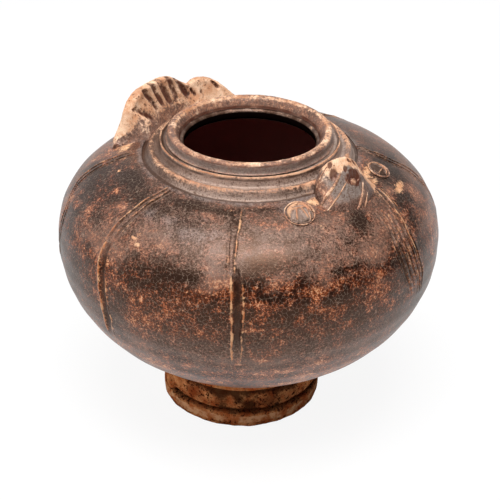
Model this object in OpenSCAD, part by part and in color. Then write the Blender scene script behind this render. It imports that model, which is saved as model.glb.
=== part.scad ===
// Small round-bellied stoneware jar with an animal's head and tail on its shoulder.
// The origin is the centre of the foot's flat underside, and +Z is up through the mouth.
// Azimuths are in degrees round the jar: 0 is the front (-Y), and 90 is the right (+X).

/* [Globe] */
// Greatest outside radius of the globe, at the belly joint
globe_r = 70.2; // [64:0.1:80]
// Height of the bowl, from the foot up to the belly joint
bowl_h = 47.1; // [44:0.1:52]
// How far under the foot's joint the bowl's curve would close
bowl_close = 5.4; // [4:0.1:8]
// Height of the shoulder's curve, from the belly to where it would close
shoulder_rise = 35; // [31:0.5:40]
// Fullness of the shoulder's curve near the belly
shoulder_full = 2.9; // [2.5:0.1:3.3]
// Fullness of the shoulder's curve near the neck
shoulder_flat = 2.35; // [2:0.05:2.7]
// Wall thickness of the globe
wall = 5; // [4:0.25:7]
// Thickness of the floor over the foot
floor_t = 5; // [4:0.5:8]

/* [Foot] */
// Height of the solid foot
foot_h = 21.4; // [19:0.2:24]
// Radius of the foot's wall
foot_r = 29.7; // [26:0.1:31]
// How far the foot was luted on off the globe's axis, to the right and to the back
foot_shift = [-2, -0.9]; // [-3:0.1:3]
// Height of the rolled bead round the bottom
bead_h = 7; // [5:0.25:9]
// How far the bead stands out past the foot's wall
bead_out = 0.7; // [0.3:0.1:2]
// Thickness of the bead's coil, in from the foot's wall
bead_in = 2.8; // [2:0.1:4]
// Height of the cove between the bead and the foot's wall
cove_h = 2.6; // [1.5:0.1:4]
// Height of the luting fillet down the foot
luting_h = 5; // [3:0.25:7]
// Width of the luting fillet along the bowl
luting_w = 4; // [2.5:0.25:6]
// Azimuth of the coil's free end
coil_end_az = -66; // [-80:1:-50]
// Radius of the coil's free end
coil_end_r = 3; // [2.2:0.1:3.6]

/* [Mouth] */
// Radius of the straight throat
throat_r = 23.6; // [20:0.1:26]
// Length of the straight throat
throat_len = 2; // [1.5:0.1:3]
// Width of the lid ledge round the throat
ledge_w = 1.1; // [0.8:0.1:2]
// Width of the lip's sloping inner face
slope_w = 1.7; // [1:0.1:2.5]
// Width of the lip's crest
lip_w = 3.3; // [2.5:0.1:4.5]
// Height of the lip above its seat on the collar
lip_h = 4.1; // [3:0.1:5.5]

/* [Collar] */
// Width of the hollow between the lip and the inner ridge
recess_w = 2.3; // [1.8:0.1:3]
// Width of the terrace between the two ridges
terrace_w = 4.2; // [3.4:0.1:5.5]
// Width from the outer ridge's crest to the joint with the shoulder
apron_w = 2.8; // [2.2:0.1:4]
// Rise of the outer ridge over the shoulder
ridge_out_h = 3; // [2:0.1:4]
// Rise of the inner ridge over the outer one
ridge_in_h = 2.9; // [2:0.1:4]

/* [Incised lines] */
// Azimuths of the broad lines, an eighth of a turn apart or so, with the head and tail on the other two
line_az = [-3, -47, -86, -176, 142, 93.5]; // [-180:0.5:180]
// Width of a broad line
line_w = 2.4; // [1.5:0.1:3.5]
// Depth of a broad line
line_depth = 0.9; // [0.5:0.1:1.4]
// Distance of the broad lines' lower ends below the belly joint
line_below = 17; // [8:0.5:24]
// Distance from the collar to the lines' upper ends
line_gap = 1.5; // [1:0.5:6]
// Width of a comb stroke
comb_w = 0.9; // [0.6:0.1:1.4]
// Depth of a comb stroke
comb_depth = 0.5; // [0.3:0.1:0.8]
// Angle from one comb stroke to the next
comb_step = 2.2; // [1.6:0.1:3]
// Strokes in one comb group
comb_count = 5; // [3:1:6]
// Distance from the broad lines' upper ends to the comb strokes' upper ends
comb_gap = 15; // [12:0.5:20]
// How far above the broad lines' lower ends the comb strokes end
comb_rise = 4; // [0:0.5:10]
// Turns from the head and from the tail to the middles of their comb groups
comb_turn = [6.5, 9]; // [0:0.5:14]

/* [Tail] */
// Azimuth of the tail's middle, opposite the head
tail_az = -139; // [-150:1:-130]
// Angle from the tail's middle to the cleft between its lobes
cleft_turn = -5.8; // [-8:0.2:0]
// Angle that the left lobe covers
left_turn = 43; // [36:1:46]
// Angle that the right lobe covers
right_turn = 31; // [24:1:36]
// Height of the left lobe's crest over the shoulder
left_h = 18; // [14:0.5:22]
// Height of the right lobe's crest over the shoulder
right_h = 13.6; // [10:0.2:18]
// Depth of the cleft between the lobes
cleft_h = 5.2; // [2:0.2:7]
// Distance from the outer ridge to the tail's crest
crest_out = 5; // [4.5:0.1:7]
// How much further out the left lobe's free end stands
crest_swing = 5.3; // [0:0.1:6]
// Distance from the crest to the tail's outer foot
tail_back = 9; // [7:0.5:12]
// Half of the crest's thickness
crest_t = 2.2; // [1.6:0.1:3]
// Radius of a flute in the tail's face
flute_r = 0.95; // [0.6:0.05:1.3]
// Height of the flutes' lower ends over the shoulder
flute_low = 7.5; // [6:0.25:9]
// Lean of the flutes, as the turn from their tops to their lower ends
flute_lean = 3.5; // [0:0.5:6]
// Flutes on the left lobe
left_flutes = 6; // [4:1:8]
// Where the left lobe's first and last flutes stand, as shares of the lobe
left_flute_span = [0.19, 0.84]; // [0:0.01:1]
// Flutes on the right lobe
right_flutes = 3; // [2:1:4]
// Where the right lobe's first and last flutes stand, as shares of the lobe
right_flute_span = [0.1, 0.5]; // [0:0.01:1]

/* [Head] */
// Azimuth of the head
head_az = 51; // [44:1:58]
// Distance from the outer ridge to the head's top
head_out = 5.8; // [5:0.2:7]
// Height of the head's top over the shoulder
head_h = 13; // [11:0.5:15]
// Radius of the roundings that shape the head
head_round = 2.6; // [2:0.1:3.2]
// Radius of the pit in the head's face
pit_r = 2.9; // [2.6:0.1:3.8]
// Turn from the head's azimuth to the pit
pit_turn = -2; // [-4:0.5:2]
// Distance of the pit out from the head's top
pit_out = 7; // [6:0.25:8]
// Drop of the pit below the head's top
pit_drop = 9; // [7:0.25:10]
// Thickness of a strip that runs down the head
strip_t = 1.5; // [1.2:0.1:2.2]

/* [Eyes] */
// Azimuth of the left boss
left_eye_az = 21.8; // [18:0.2:23]
// Azimuth of the right boss
right_eye_az = 80; // [76:0.2:82]
// Distance from the collar's joint to a boss's middle
eye_out = 7.9; // [7:0.1:10]
// Radius of the left boss
left_eye_r = 4.6; // [3.8:0.1:5.2]
// Radius of the right boss
right_eye_r = 3.6; // [3.2:0.1:4.6]
// Height of a boss
eye_h = 2.4; // [1.6:0.1:3.4]
// Width of the cuts in a boss
spoke_w = 0.9; // [0.6:0.1:1.2]
// Cuts across a boss
spokes = 3; // [2:1:4]
// Thickness of the roll round a boss
eye_ring_t = 1.1; // [0.8:0.1:2]
// Gap between a boss and its roll
eye_gap = 0.1; // [0:0.1:0.8]

/* [Hidden] */
$fn = 96;

// Height of the belly joint above the standing face, and the depth of the bowl's curve under it
belly_z = foot_h + bowl_h;
bowl_drop = bowl_h + bowl_close;

// Roundings of the collar's ridges, fillets beside them and beside the lip, and the bead's rounding
ridge_in_round = 0.5;
ridge_out_round = 0.8;
collar_fillet = 0.4;
terrace_fillet = 0.8;
lip_fillet = 0.9;
bead_round = 1.6;
// How far the lip's outside is drawn in over its fillet, and how far the throat opens into the hollow
lip_undercut = 0.3;
throat_flare = 1.5;
// How far a shape that is cut away reaches past the surface, and how deep a wad's base is drawn into it
clear = 2;
rooted = 6;

// Radii of the mouth and the collar, from the throat outwards
ledge_r = throat_r + ledge_w;
lip_in_r = ledge_r + slope_w;
lip_out_r = lip_in_r + lip_w;
ridge_in_r = lip_out_r + recess_w;
ridge_out_r = ridge_in_r + terrace_w;
collar_r = ridge_out_r + apron_w;

// Heights of the collar and the lip, from the shoulder upwards
joint_z = shoulder_z(collar_r);
ridge_out_z = joint_z + ridge_out_h;
ridge_in_z = ridge_out_z + ridge_in_h;
lip_seat_z = ridge_in_z - ridge_in_round;
lip_top_z = lip_seat_z + lip_h;
throat_low_z = lip_seat_z - ledge_w - throat_len;

// The globe's hollow: its radius at the belly, and its two depths from there
hollow_r = globe_r - wall;
hollow_drop = belly_z - foot_h - floor_t;
hollow_rise = shoulder_rise - wall;

// Height that the shifted foot and its fillet reach before the globe is cut out of them
foot_top_z = bowl_z(foot_r + luting_w + norm(foot_shift)) + clear;

// Points along each quarter of the globe's outline
curve_steps = 12;

// The shoulder's and the bowl's surfaces
function superellipse_z(r, radius, rise) =
    belly_z + rise * pow(1 - pow(r / radius, shoulder_full), 1 / shoulder_flat);
function shoulder_z(r) = superellipse_z(r, globe_r, shoulder_rise);
function hollow_z(r) = superellipse_z(r, hollow_r, hollow_rise);
function bowl_z(r) = belly_z - bowl_drop * sqrt(1 - pow(r / globe_r, 2));
function shoulder_slope(r) = atan((shoulder_z(r - 0.1) - shoulder_z(r + 0.1)) / 0.2);

// Half an ellipse's lower quarter, from height z_low up to the belly
function bowl_curve(radius, drop, z_low) =
    let (start = acos(min(1, (belly_z - z_low) / drop)))
    [for (i = [0 : curve_steps])
        let (t = start + (90 - start) * i / curve_steps)
        [radius * sin(t), belly_z - drop * cos(t)]];

// The shoulder's curve, from the belly up to radius r_top
function shoulder_curve(radius, rise, r_top) =
    let (finish = acos(pow(r_top / radius, shoulder_full / 2)))
    [for (i = [0 : curve_steps])
        let (t = finish * i / curve_steps)
        [radius * pow(cos(t), 2 / shoulder_full), belly_z + rise * pow(sin(t), 2 / shoulder_flat)]];

// Points of an arc about c, from angle a to angle b
function arc(c, r, a, b, steps) =
    [for (i = [0 : steps]) let (t = a + (b - a) * i / steps) [c[0] + r * cos(t), c[1] + r * sin(t)]];

function reversed(list) = [for (i = [len(list) - 1 : -1 : 0]) list[i]];

// Turns +X towards an azimuth
module toward(az) rotate([0, 0, az - 90]) children();

// Stands its children on the shoulder at an azimuth and a radius, with +Z square to the surface
module on_shoulder(az, r) {
    toward(az) translate([r, 0, shoulder_z(r)]) rotate([0, shoulder_slope(r), 0]) children();
}

// A point in space from azimuth, radius and height
function at(az, r, z) = [r * sin(az), -r * cos(az), z];

// Lays its children's +Z along the way from a to b
module lay(a, b) {
    along = b - a;
    translate(a) rotate([0, acos(along[2] / norm(along)), atan2(along[1], along[0])]) children();
}

// A round bar with round ends from a to b
module bar(a, b, r) {
    length = norm(b - a);
    lay(a, b) rotate_extrude($fn = 32)
        polygon(concat(arc([0, 0], r, -90, 0, 5), arc([0, length], r, 0, 90, 5)));
}

// Everything inside the jar's outside, without the applied pieces
module globe_solid() {
    rotate_extrude() polygon(concat(
        [[0, foot_h]],
        bowl_curve(globe_r, bowl_drop, foot_h),
        shoulder_curve(globe_r, shoulder_rise, collar_r),
        [[0, joint_z]]
    ));
}
module neck_solid() {
    rotate_extrude() polygon(concat(
        [[0, belly_z], [collar_r, belly_z]],
        collar_outside(),
        [[0, lip_seat_z]]
    ));
}

// The band between the globe's surface and a curve that lies depth under it
function line_band(depth, z_low, r_top) =
    let (
        below = bowl_curve(globe_r, bowl_drop, z_low),
        above = shoulder_curve(globe_r, shoulder_rise, r_top),
        under_b = bowl_curve(globe_r - depth, bowl_drop - depth, z_low + depth),
        under_a = shoulder_curve(globe_r - depth, shoulder_rise - depth, r_top + depth)
    )
    concat(
        [[below[0][0] + clear, below[0][1] - clear]],
        [for (i = [1 : curve_steps]) [below[i][0] + clear, below[i][1]]],
        [for (i = [1 : curve_steps]) [above[i][0] + clear, above[i][1] + clear]],
        reversed([for (i = [1 : curve_steps]) under_a[i]]),
        reversed(under_b)
    );
module line_cut(az, width, depth, z_low, r_top) {
    toward(az) rotate([90, 0, 0])
        linear_extrude(height = width, center = true) polygon(line_band(depth, z_low, r_top));
}

// Six broad lines, and a comb group under the head and under the tail
module incised_lines() {
    z_low = belly_z - line_below;
    r_top = collar_r + line_gap;
    for (az = line_az) line_cut(az, line_w, line_depth, z_low, r_top);
    for (middle = [head_az + comb_turn[0], tail_az + comb_turn[1]])
        for (k = [0 : comb_count - 1])
            line_cut(middle + (k - (comb_count - 1) / 2) * comb_step, comb_w, comb_depth,
                z_low + comb_rise, r_top + comb_gap);
}

module lower_body() {
    color("#4a2c20") difference() {
        rotate_extrude() polygon(concat(
            [[0, foot_h]],
            bowl_curve(globe_r, bowl_drop, foot_h),
            reversed(bowl_curve(hollow_r, hollow_drop, belly_z - hollow_drop))
        ));
        incised_lines();
    }
}

module shoulder() {
    color("#553427") difference() {
        rotate_extrude() polygon(concat(
            shoulder_curve(globe_r, shoulder_rise, collar_r),
            reversed(shoulder_curve(hollow_r, hollow_rise, collar_r))
        ));
        incised_lines();
    }
}

// The collar's outside, from its joint with the shoulder in to its seat for the lip
function collar_outside() = concat(
    [[collar_r, joint_z - collar_fillet], [collar_r - 2 * collar_fillet, joint_z - collar_fillet]],
    [[ridge_out_r + 1.1 * ridge_out_round, joint_z + collar_fillet]],
    arc([ridge_out_r - ridge_out_round / 4, ridge_out_z - ridge_out_round], ridge_out_round, -10, 110, 4),
    [[ridge_in_r + ridge_in_round + terrace_fillet, ridge_out_z + terrace_fillet / 4]],
    [[ridge_in_r + terrace_fillet, ridge_out_z + terrace_fillet]],
    arc([ridge_in_r, lip_seat_z], ridge_in_round, 0, 180, 4)
);

module neck_collar() {
    color("#8a7668") rotate_extrude() polygon(concat(
        [[collar_r, hollow_z(collar_r)]],
        collar_outside(),
        arc([ledge_r, lip_seat_z - ledge_w], ledge_w, 90, 180, 4),
        [[throat_r, throat_low_z], [throat_r + throat_flare, throat_low_z - 0.7 * throat_flare]]
    ));
}

module mouth_rim() {
    color("#b9906f") rotate_extrude() polygon(concat(
        [[ledge_r, lip_seat_z]],
        arc([lip_out_r - lip_w / 2, lip_top_z - lip_w / 2], lip_w / 2, 160, 0, 6),
        [[lip_out_r - lip_undercut, lip_seat_z + 1.4 * lip_fillet]],
        [[lip_out_r + 0.6 * lip_fillet, lip_seat_z + 0.2 * lip_fillet], [lip_out_r + lip_fillet, lip_seat_z]]
    ));
}

// The foot's outline, from the standing face up to the bowl
module foot_pedestal() {
    color("#8f5f3c") difference() {
        translate(foot_shift) rotate_extrude() polygon(concat(
            [[0, 0], [foot_r - bead_in, 0], [foot_r - bead_in, bead_h]],
            [[foot_r - 0.35 * cove_h, bead_h + 0.08 * cove_h]],
            [[foot_r - 0.08 * cove_h, bead_h + 0.46 * cove_h], [foot_r, bead_h + cove_h]],
            [[foot_r, foot_top_z], [0, foot_top_z]]
        ));
        globe_solid();
    }
}

module foot_coil() {
    edge_r = foot_r + bead_out - bead_round;
    color("#a97b54") translate(foot_shift) rotate_extrude() polygon(concat(
        [[foot_r - bead_in, 0]],
        arc([edge_r, bead_round], bead_round, -90, 0, 4),
        arc([edge_r, bead_h - bead_round], bead_round, 0, 90, 4),
        [[foot_r - bead_in, bead_h]]
    ));
}

// The coil's free end leans against the foot's wall, from under the luting down to the bead
coil_end_lean = 16;
coil_end_out = 1.6;
module foot_coil_end() {
    middle_r = foot_r - coil_end_r + coil_end_out;
    color("#a5774f") difference() {
        translate(foot_shift) bar(
            at(coil_end_az - coil_end_lean / 2, middle_r, foot_h - luting_h - coil_end_r),
            at(coil_end_az + coil_end_lean / 2, middle_r, bead_h),
            coil_end_r
        );
        foot_pedestal();
        translate([foot_shift[0], foot_shift[1], -clear])
            cylinder(r = foot_r + bead_out + clear, h = bead_h + clear);
    }
}

module foot_luting() {
    top_r = foot_r + luting_w;
    color("#7a4a2e") difference() {
        translate(foot_shift) rotate_extrude() polygon([
            [foot_r, foot_h - luting_h],
            [foot_r + 0.15 * luting_w, foot_h - 0.6 * luting_h],
            [foot_r + 0.45 * luting_w, foot_h - 0.2 * luting_h],
            [top_r, bowl_z(top_r)],
            [top_r, foot_top_z],
            [foot_r, foot_top_z]
        ]);
        globe_solid();
    }
}

// One section through the tail: inner foot, crest and outer foot, then a closed base.
// depth is 1 where the wad is at its full depth, and less where it tapers to its end.
function tail_section(rc, crest_z, depth) =
    let (
        base = shoulder_z(rc),
        h = crest_z - base,
        t = min(crest_t * (0.4 + 0.6 * depth), h / 3),
        back = tail_back * (0.45 + 0.55 * depth),
        inner = rc - (rc - ridge_out_r + 0.8) * (0.4 + 0.6 * depth),
        front = rc - t - inner
    )
    concat(
        [[inner, base - rooted], [inner, base + 0.2 * h], [inner + 0.35 * front, base + 0.36 * h]],
        [[rc - t - 0.2 * front, base + 0.72 * h]],
        arc([rc, crest_z - t], t, 165, 0, 6),
        [[rc + t + 0.15 * back, base + 0.68 * h], [rc + t + 0.3 * back, base + 0.38 * h]],
        [[rc + 0.78 * back, base + 0.12 * h]],
        [[rc + back, shoulder_z(rc + back) - 1], [rc + back - 1, base - 1.5 * rooted]]
    );

// Radius of a lobe's crest, from t = 0 at the cleft to t = 1 at its free end
function crest_r(t, swing) = ridge_out_r + crest_out + swing * pow(t, 1.5);

// A lobe: sections from the cleft, through turn, to its free end, closer together at both ends.
// crests gives the crest's height along the way, and blunt is how suddenly the free end closes.
module lobe(turn, swing, blunt, steps, crests) {
    rings = [for (i = [0 : steps])
        let (t = (1 - cos(180 * i / steps)) / 2, depth = sqrt(1 - pow(t, blunt)))
        [for (p = tail_section(crest_r(t, swing), lookup(t, crests), depth))
            at(cleft_az + turn * t, p[0], p[1])]];
    in_turn = turn > 0 ? reversed(rings) : rings;
    n = len(rings[0]);
    sides = [for (i = [0 : steps - 1]) for (j = [0 : n - 1])
        [i * n + j, i * n + (j + 1) % n, (i + 1) * n + (j + 1) % n, (i + 1) * n + j]];
    ends = [[for (j = [n - 1 : -1 : 0]) j], [for (j = [0 : n - 1]) steps * n + j]];
    polyhedron(points = [for (ring = in_turn) for (p = ring) p], faces = concat(sides, ends));
}

// A lobe's flutes: gouges that lean down the face that looks at the mouth, over a span of its length
module flutes(turn, swing, span, count, top_z) {
    for (k = [0 : count - 1]) {
        t = span[0] + (span[1] - span[0]) * k / (count - 1);
        az = cleft_az + turn * t;
        a = at(az, crest_r(t, swing) - 0.6 * flute_r, top_z + clear);
        b = at(az - flute_lean, ridge_out_r + 1.7 * flute_r, crest_base + flute_low);
        lay(a, b) cylinder(r = flute_r, h = norm(b - a), $fn = 8);
    }
}

crest_base = shoulder_z(ridge_out_r + crest_out);
cleft_az = tail_az + cleft_turn;
// How suddenly each lobe's free end closes, and the steps along each lobe
left_blunt = 14;
right_blunt = 6;
left_steps = 12;
right_steps = 10;
module tail_left_lobe() {
    top = crest_base + left_h;
    color("#c49a78") difference() {
        lobe(left_turn, crest_swing, left_blunt, left_steps, [
            [0, top - cleft_h], [0.16, top - 0.54 * cleft_h], [0.25, top - 0.12 * cleft_h], [0.37, top],
            [0.68, top - 0.06 * left_h], [0.83, top - 0.11 * left_h], [0.9, top - 0.24 * left_h],
            [0.945, top - 0.43 * left_h], [0.967, top - 0.65 * left_h], [1, top - 0.9 * left_h]
        ]);
        globe_solid();
        neck_solid();
        flutes(left_turn, crest_swing, left_flute_span, left_flutes, top);
    }
}

module tail_right_lobe() {
    top = crest_base + right_h;
    color("#c9a17e") difference() {
        lobe(-right_turn, 0, right_blunt, right_steps, [
            [0, top - 0.07 * right_h], [0.2, top], [0.32, top - 0.02 * right_h], [0.44, top - 0.1 * right_h],
            [0.57, top - 0.24 * right_h], [0.76, top - 0.48 * right_h], [0.88, top - 0.68 * right_h],
            [1, top - 0.87 * right_h]
        ]);
        globe_solid();
        neck_solid();
        flutes(-right_turn, 0, right_flute_span, right_flutes, top);
    }
}

// The head: its crest bends round a hollow face, and its feet stand on the shoulder.
// Each point is a turn from the head's azimuth and a distance out from its top, and the crest's
// points also have a drop, as a share of the head's height.
head_r = ridge_out_r + head_out;
head_z = shoulder_z(head_r) + head_h;
head_crest = [[-7.2, -3.8, 0.14], [-3.5, -2, 0.05], [0, 0, 0], [4.5, 0.8, 0.2], [7.6, 1.8, 0.49]];
head_feet = [[-16.5, -0.5], [-16, 4.5], [-7, 7], [0, 8], [6.5, 7.5], [8.8, 4]];
module head_lug() {
    color("#b48a69") difference() {
        hull() {
            for (p = head_crest)
                translate(at(head_az + p[0], head_r + p[1], head_z - head_round - p[2] * head_h))
                    sphere(r = head_round, $fn = 20);
            for (p = head_feet)
                translate(at(head_az + p[0], head_r + p[1], shoulder_z(head_r + p[1]) - head_round))
                    sphere(r = head_round, $fn = 20);
        }
        globe_solid();
        neck_solid();
        translate(at(head_az + pit_turn, head_r + pit_out, head_z - pit_drop)) sphere(r = pit_r, $fn = 32);
    }
}

// Strip k lies on the head's flank and fans down it towards the shoulder.
// Each end is a turn from the head's azimuth, a distance out from its top and a share of its height:
// the upper end's drop below the head's top, and the foot's rise over the shoulder.
strip_top = [[-8.4, -2.4, 0.13], [-5, 1.4, 0.22], [-3.4, 3.6, 0.38], [5, 5.4, 0.61], [6, 7, 0.89]];
strip_foot = [
    [-16.2, -1.8, 0.24], [-16.8, 2.4, 0.16], [-16.5, 5.3, 0.08], [-3.6, 9.2, 0.1], [0.5, 9.7, 0.05]
];
module head_strip(k) {
    foot_out = head_r + strip_foot[k][1];
    a = at(head_az + strip_top[k][0], head_r + strip_top[k][1], head_z - strip_top[k][2] * head_h);
    b = at(head_az + strip_foot[k][0], foot_out, shoulder_z(foot_out) + strip_foot[k][2] * head_h);
    color("#bd9472") difference() {
        bar(a, b, strip_t / 2);
        globe_solid();
        neck_solid();
        head_lug();
    }
}

// How much flatter than a dome of its full height a boss's top is
eye_flat = 0.6;
eye_mid_r = collar_r + eye_out;
module eye_boss(az, r) {
    dome_r = (r * r + eye_h * eye_h) / (2 * eye_h) + eye_flat;
    color("#7d6a5e") difference() {
        on_shoulder(az, eye_mid_r) intersection() {
            translate([0, 0, -eye_h]) cylinder(r = r, h = 2 * eye_h);
            translate([0, 0, eye_h - dome_r]) sphere(r = dome_r);
        }
        on_shoulder(az, eye_mid_r) for (k = [0 : spokes - 1]) rotate([0, 0, 180 * k / spokes + 90])
            translate([-r, -spoke_w / 2, eye_h - spoke_w]) cube([2 * r, spoke_w, spoke_w + clear]);
        globe_solid();
    }
}
module eye_ring(az, r) {
    color("#a9825f") difference() {
        on_shoulder(az, eye_mid_r) rotate_extrude()
            translate([r + eye_gap + eye_ring_t / 2, 0]) circle(r = eye_ring_t / 2, $fn = 24);
        globe_solid();
        neck_solid();
    }
}

lower_body();
shoulder();
neck_collar();
mouth_rim();
foot_pedestal();
foot_coil();
foot_coil_end();
foot_luting();
tail_left_lobe();
tail_right_lobe();
head_lug();
head_strip(0);  // head_strip_1
head_strip(1);  // head_strip_2
head_strip(2);  // head_strip_3
head_strip(3);  // head_strip_4
head_strip(4);  // head_strip_5
eye_boss(left_eye_az, left_eye_r);  // left_eye_boss
eye_boss(right_eye_az, right_eye_r);  // right_eye_boss
eye_ring(left_eye_az, left_eye_r);  // left_eye_ring
eye_ring(right_eye_az, right_eye_r);  // right_eye_ring
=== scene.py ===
import logging
import math
import random
from dataclasses import dataclass, field
from enum import Enum
from typing import Any, Sequence

import bmesh
import bpy
import numpy as np
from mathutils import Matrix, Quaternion, Vector, noise


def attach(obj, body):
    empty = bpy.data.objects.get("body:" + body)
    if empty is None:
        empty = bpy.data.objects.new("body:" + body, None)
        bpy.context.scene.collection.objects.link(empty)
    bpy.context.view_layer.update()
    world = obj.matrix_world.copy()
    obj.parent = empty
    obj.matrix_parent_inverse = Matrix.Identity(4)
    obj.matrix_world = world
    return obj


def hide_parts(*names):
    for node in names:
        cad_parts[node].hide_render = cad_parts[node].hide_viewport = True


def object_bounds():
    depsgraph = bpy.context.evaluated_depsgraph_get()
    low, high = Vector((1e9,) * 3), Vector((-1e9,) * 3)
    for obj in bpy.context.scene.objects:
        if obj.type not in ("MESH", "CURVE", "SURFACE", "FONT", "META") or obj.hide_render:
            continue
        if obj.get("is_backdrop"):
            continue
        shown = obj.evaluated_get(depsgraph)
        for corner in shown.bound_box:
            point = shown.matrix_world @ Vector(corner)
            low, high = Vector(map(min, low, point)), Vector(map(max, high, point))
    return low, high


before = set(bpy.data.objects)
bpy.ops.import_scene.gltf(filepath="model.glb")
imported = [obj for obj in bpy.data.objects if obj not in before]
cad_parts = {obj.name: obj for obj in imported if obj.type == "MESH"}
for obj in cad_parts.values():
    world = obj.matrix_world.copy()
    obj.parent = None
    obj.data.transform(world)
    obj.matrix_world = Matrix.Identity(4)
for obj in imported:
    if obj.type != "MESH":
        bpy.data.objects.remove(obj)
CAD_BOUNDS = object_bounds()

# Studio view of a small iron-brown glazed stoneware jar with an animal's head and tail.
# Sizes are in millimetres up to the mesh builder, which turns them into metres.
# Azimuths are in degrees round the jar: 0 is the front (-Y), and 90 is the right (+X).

LOG = logging.getLogger("jar_scene")
MM = 0.001
COARSE = 1.0


class Slot(str, Enum):
    """Names for the part's material slots, which nothing in this script uses."""

    GLAZE = "brown_glaze"
    CLAY = "buff_clay"
    FOOT = "foot_clay"


def plain(value: Any) -> Any:
    """Turn vectors and nested sequences into plain lists of numbers."""
    return float(value) if isinstance(value, (int, float)) else [plain(item) for item in value]


def linear(code: str) -> tuple[float, float, float, float]:
    """Turn a hex sRGB colour into a linear RGBA one.

    Args:
        code: The colour as "#rrggbb".

    Returns:
        The linear colour with an alpha of 1.
    """
    parts = [int(code[k:k + 2], 16) / 255 for k in (1, 3, 5)]
    red, green, blue = (c / 12.92 if c <= 0.04045 else ((c + 0.055) / 1.055) ** 2.4 for c in parts)
    return red, green, blue, 1.0


def smooth(low: float, high: float, value: np.ndarray) -> np.ndarray:
    """Ease from 0 at low to 1 at high, where low may be the larger one."""
    share = np.clip((value - low) / (high - low), 0.0, 1.0)
    return share * share * (3 - 2 * share)


def polar(az: Any, r: Any, z: Any) -> np.ndarray:
    """Return points from azimuths, radii and heights that broadcast together."""
    turn = np.radians(az)
    return np.stack(np.broadcast_arrays(r * np.sin(turn), -r * np.cos(turn), z), axis=-1).astype(float)


def resample(points: np.ndarray, step: float) -> np.ndarray:
    """Space a line's points evenly along it, step apart; extra columns follow along."""
    gaps = np.linalg.norm(np.diff(points[:, :2], axis=0), axis=1)
    along = np.concatenate([[0.0], np.cumsum(gaps)])
    places = np.linspace(0.0, along[-1], max(2, round(along[-1] / step) + 1))
    return np.stack([np.interp(places, along, column) for column in points.T], axis=1)


def rounded(points: np.ndarray, rounds: int = 2, closed: bool = False) -> np.ndarray:
    """Round a line's corners by cutting each of them, rounds times."""
    for _ in range(rounds):
        ahead = np.roll(points, -1, axis=0)
        cuts = np.stack([points * 0.75 + ahead * 0.25, points * 0.25 + ahead * 0.75], axis=1)
        if closed:
            points = cuts.reshape(-1, points.shape[1])
        else:
            points = np.concatenate([points[:1], cuts[:-1].reshape(-1, points.shape[1]), points[-1:]])
    return points


def ripple(az: np.ndarray, seed: int, lowest: int = 2, highest: int = 9) -> np.ndarray:
    """Return a smooth wave of about unit size that closes round the jar."""
    rng = random.Random(seed)
    total = np.zeros_like(az, dtype=float)
    for k in range(lowest, highest + 1):
        total += np.sin(np.radians(az) * k + rng.uniform(0, math.tau)) * rng.uniform(0.4, 1.0) / math.sqrt(k)
    return total / 1.5


def lumps(points: np.ndarray, size: float, seed: int) -> np.ndarray:
    """Return noise from -1 to 1 at each point, with features of about the given size."""
    places = points.reshape(-1, 3) / size + seed * 17.3
    values = np.array([noise.noise(Vector(place)) for place in places])
    return values.reshape(points.shape[:-1])


def near(x: np.ndarray, y: np.ndarray, path: Sequence[tuple[float, float]]) -> np.ndarray:
    """Return how far each point of a plane is from a bent line in it."""
    best = np.full(np.broadcast(x, y).shape, np.inf)
    for (ax, ay), (bx, by) in zip(path, path[1:]):
        length = (bx - ax) ** 2 + (by - ay) ** 2 + 1e-9
        share = np.clip(((x - ax) * (bx - ax) + (y - ay) * (by - ay)) / length, 0, 1)
        best = np.minimum(best, np.hypot(x - ax - share * (bx - ax), y - ay - share * (by - ay)))
    return best


@dataclass
class Sheet:
    """A closed skin as a grid of points; its columns run round it and meet again.

    Attributes:
        points: Rows by columns by 3, in millimetres.
        masks: Named values from 0 to 1 for the materials, each broadcast to rows by columns.
        wrap_rows: Whether the last row joins the first one.
    """

    points: np.ndarray
    masks: dict[str, np.ndarray] = field(default_factory=dict)
    wrap_rows: bool = False

    def faces(self) -> np.ndarray:
        """Return the grid's quads."""
        rows, cols = self.points.shape[:2]
        row = np.arange(rows if self.wrap_rows else rows - 1)[:, None]
        col = np.arange(cols)[None, :]
        up, on = (row + 1) % rows, (col + 1) % cols
        corners = (row * cols + col, row * cols + on, up * cols + on, up * cols + col)
        return np.stack(np.broadcast_arrays(*corners), axis=-1).reshape(-1, 4)

    def capped(self) -> "Sheet":
        """Close both ends of a loft by a point in the middle of each."""
        rows, cols = self.points.shape[:2]
        first, last = (np.repeat(self.points[k].mean(axis=0)[None, None], cols, axis=1) for k in (0, -1))
        masks = {name: np.pad(np.broadcast_to(values, (rows, cols)), ((1, 1), (0, 0)), mode="edge")
                 for name, values in self.masks.items()}
        return Sheet(np.concatenate([first, self.points, last]), masks)


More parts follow.
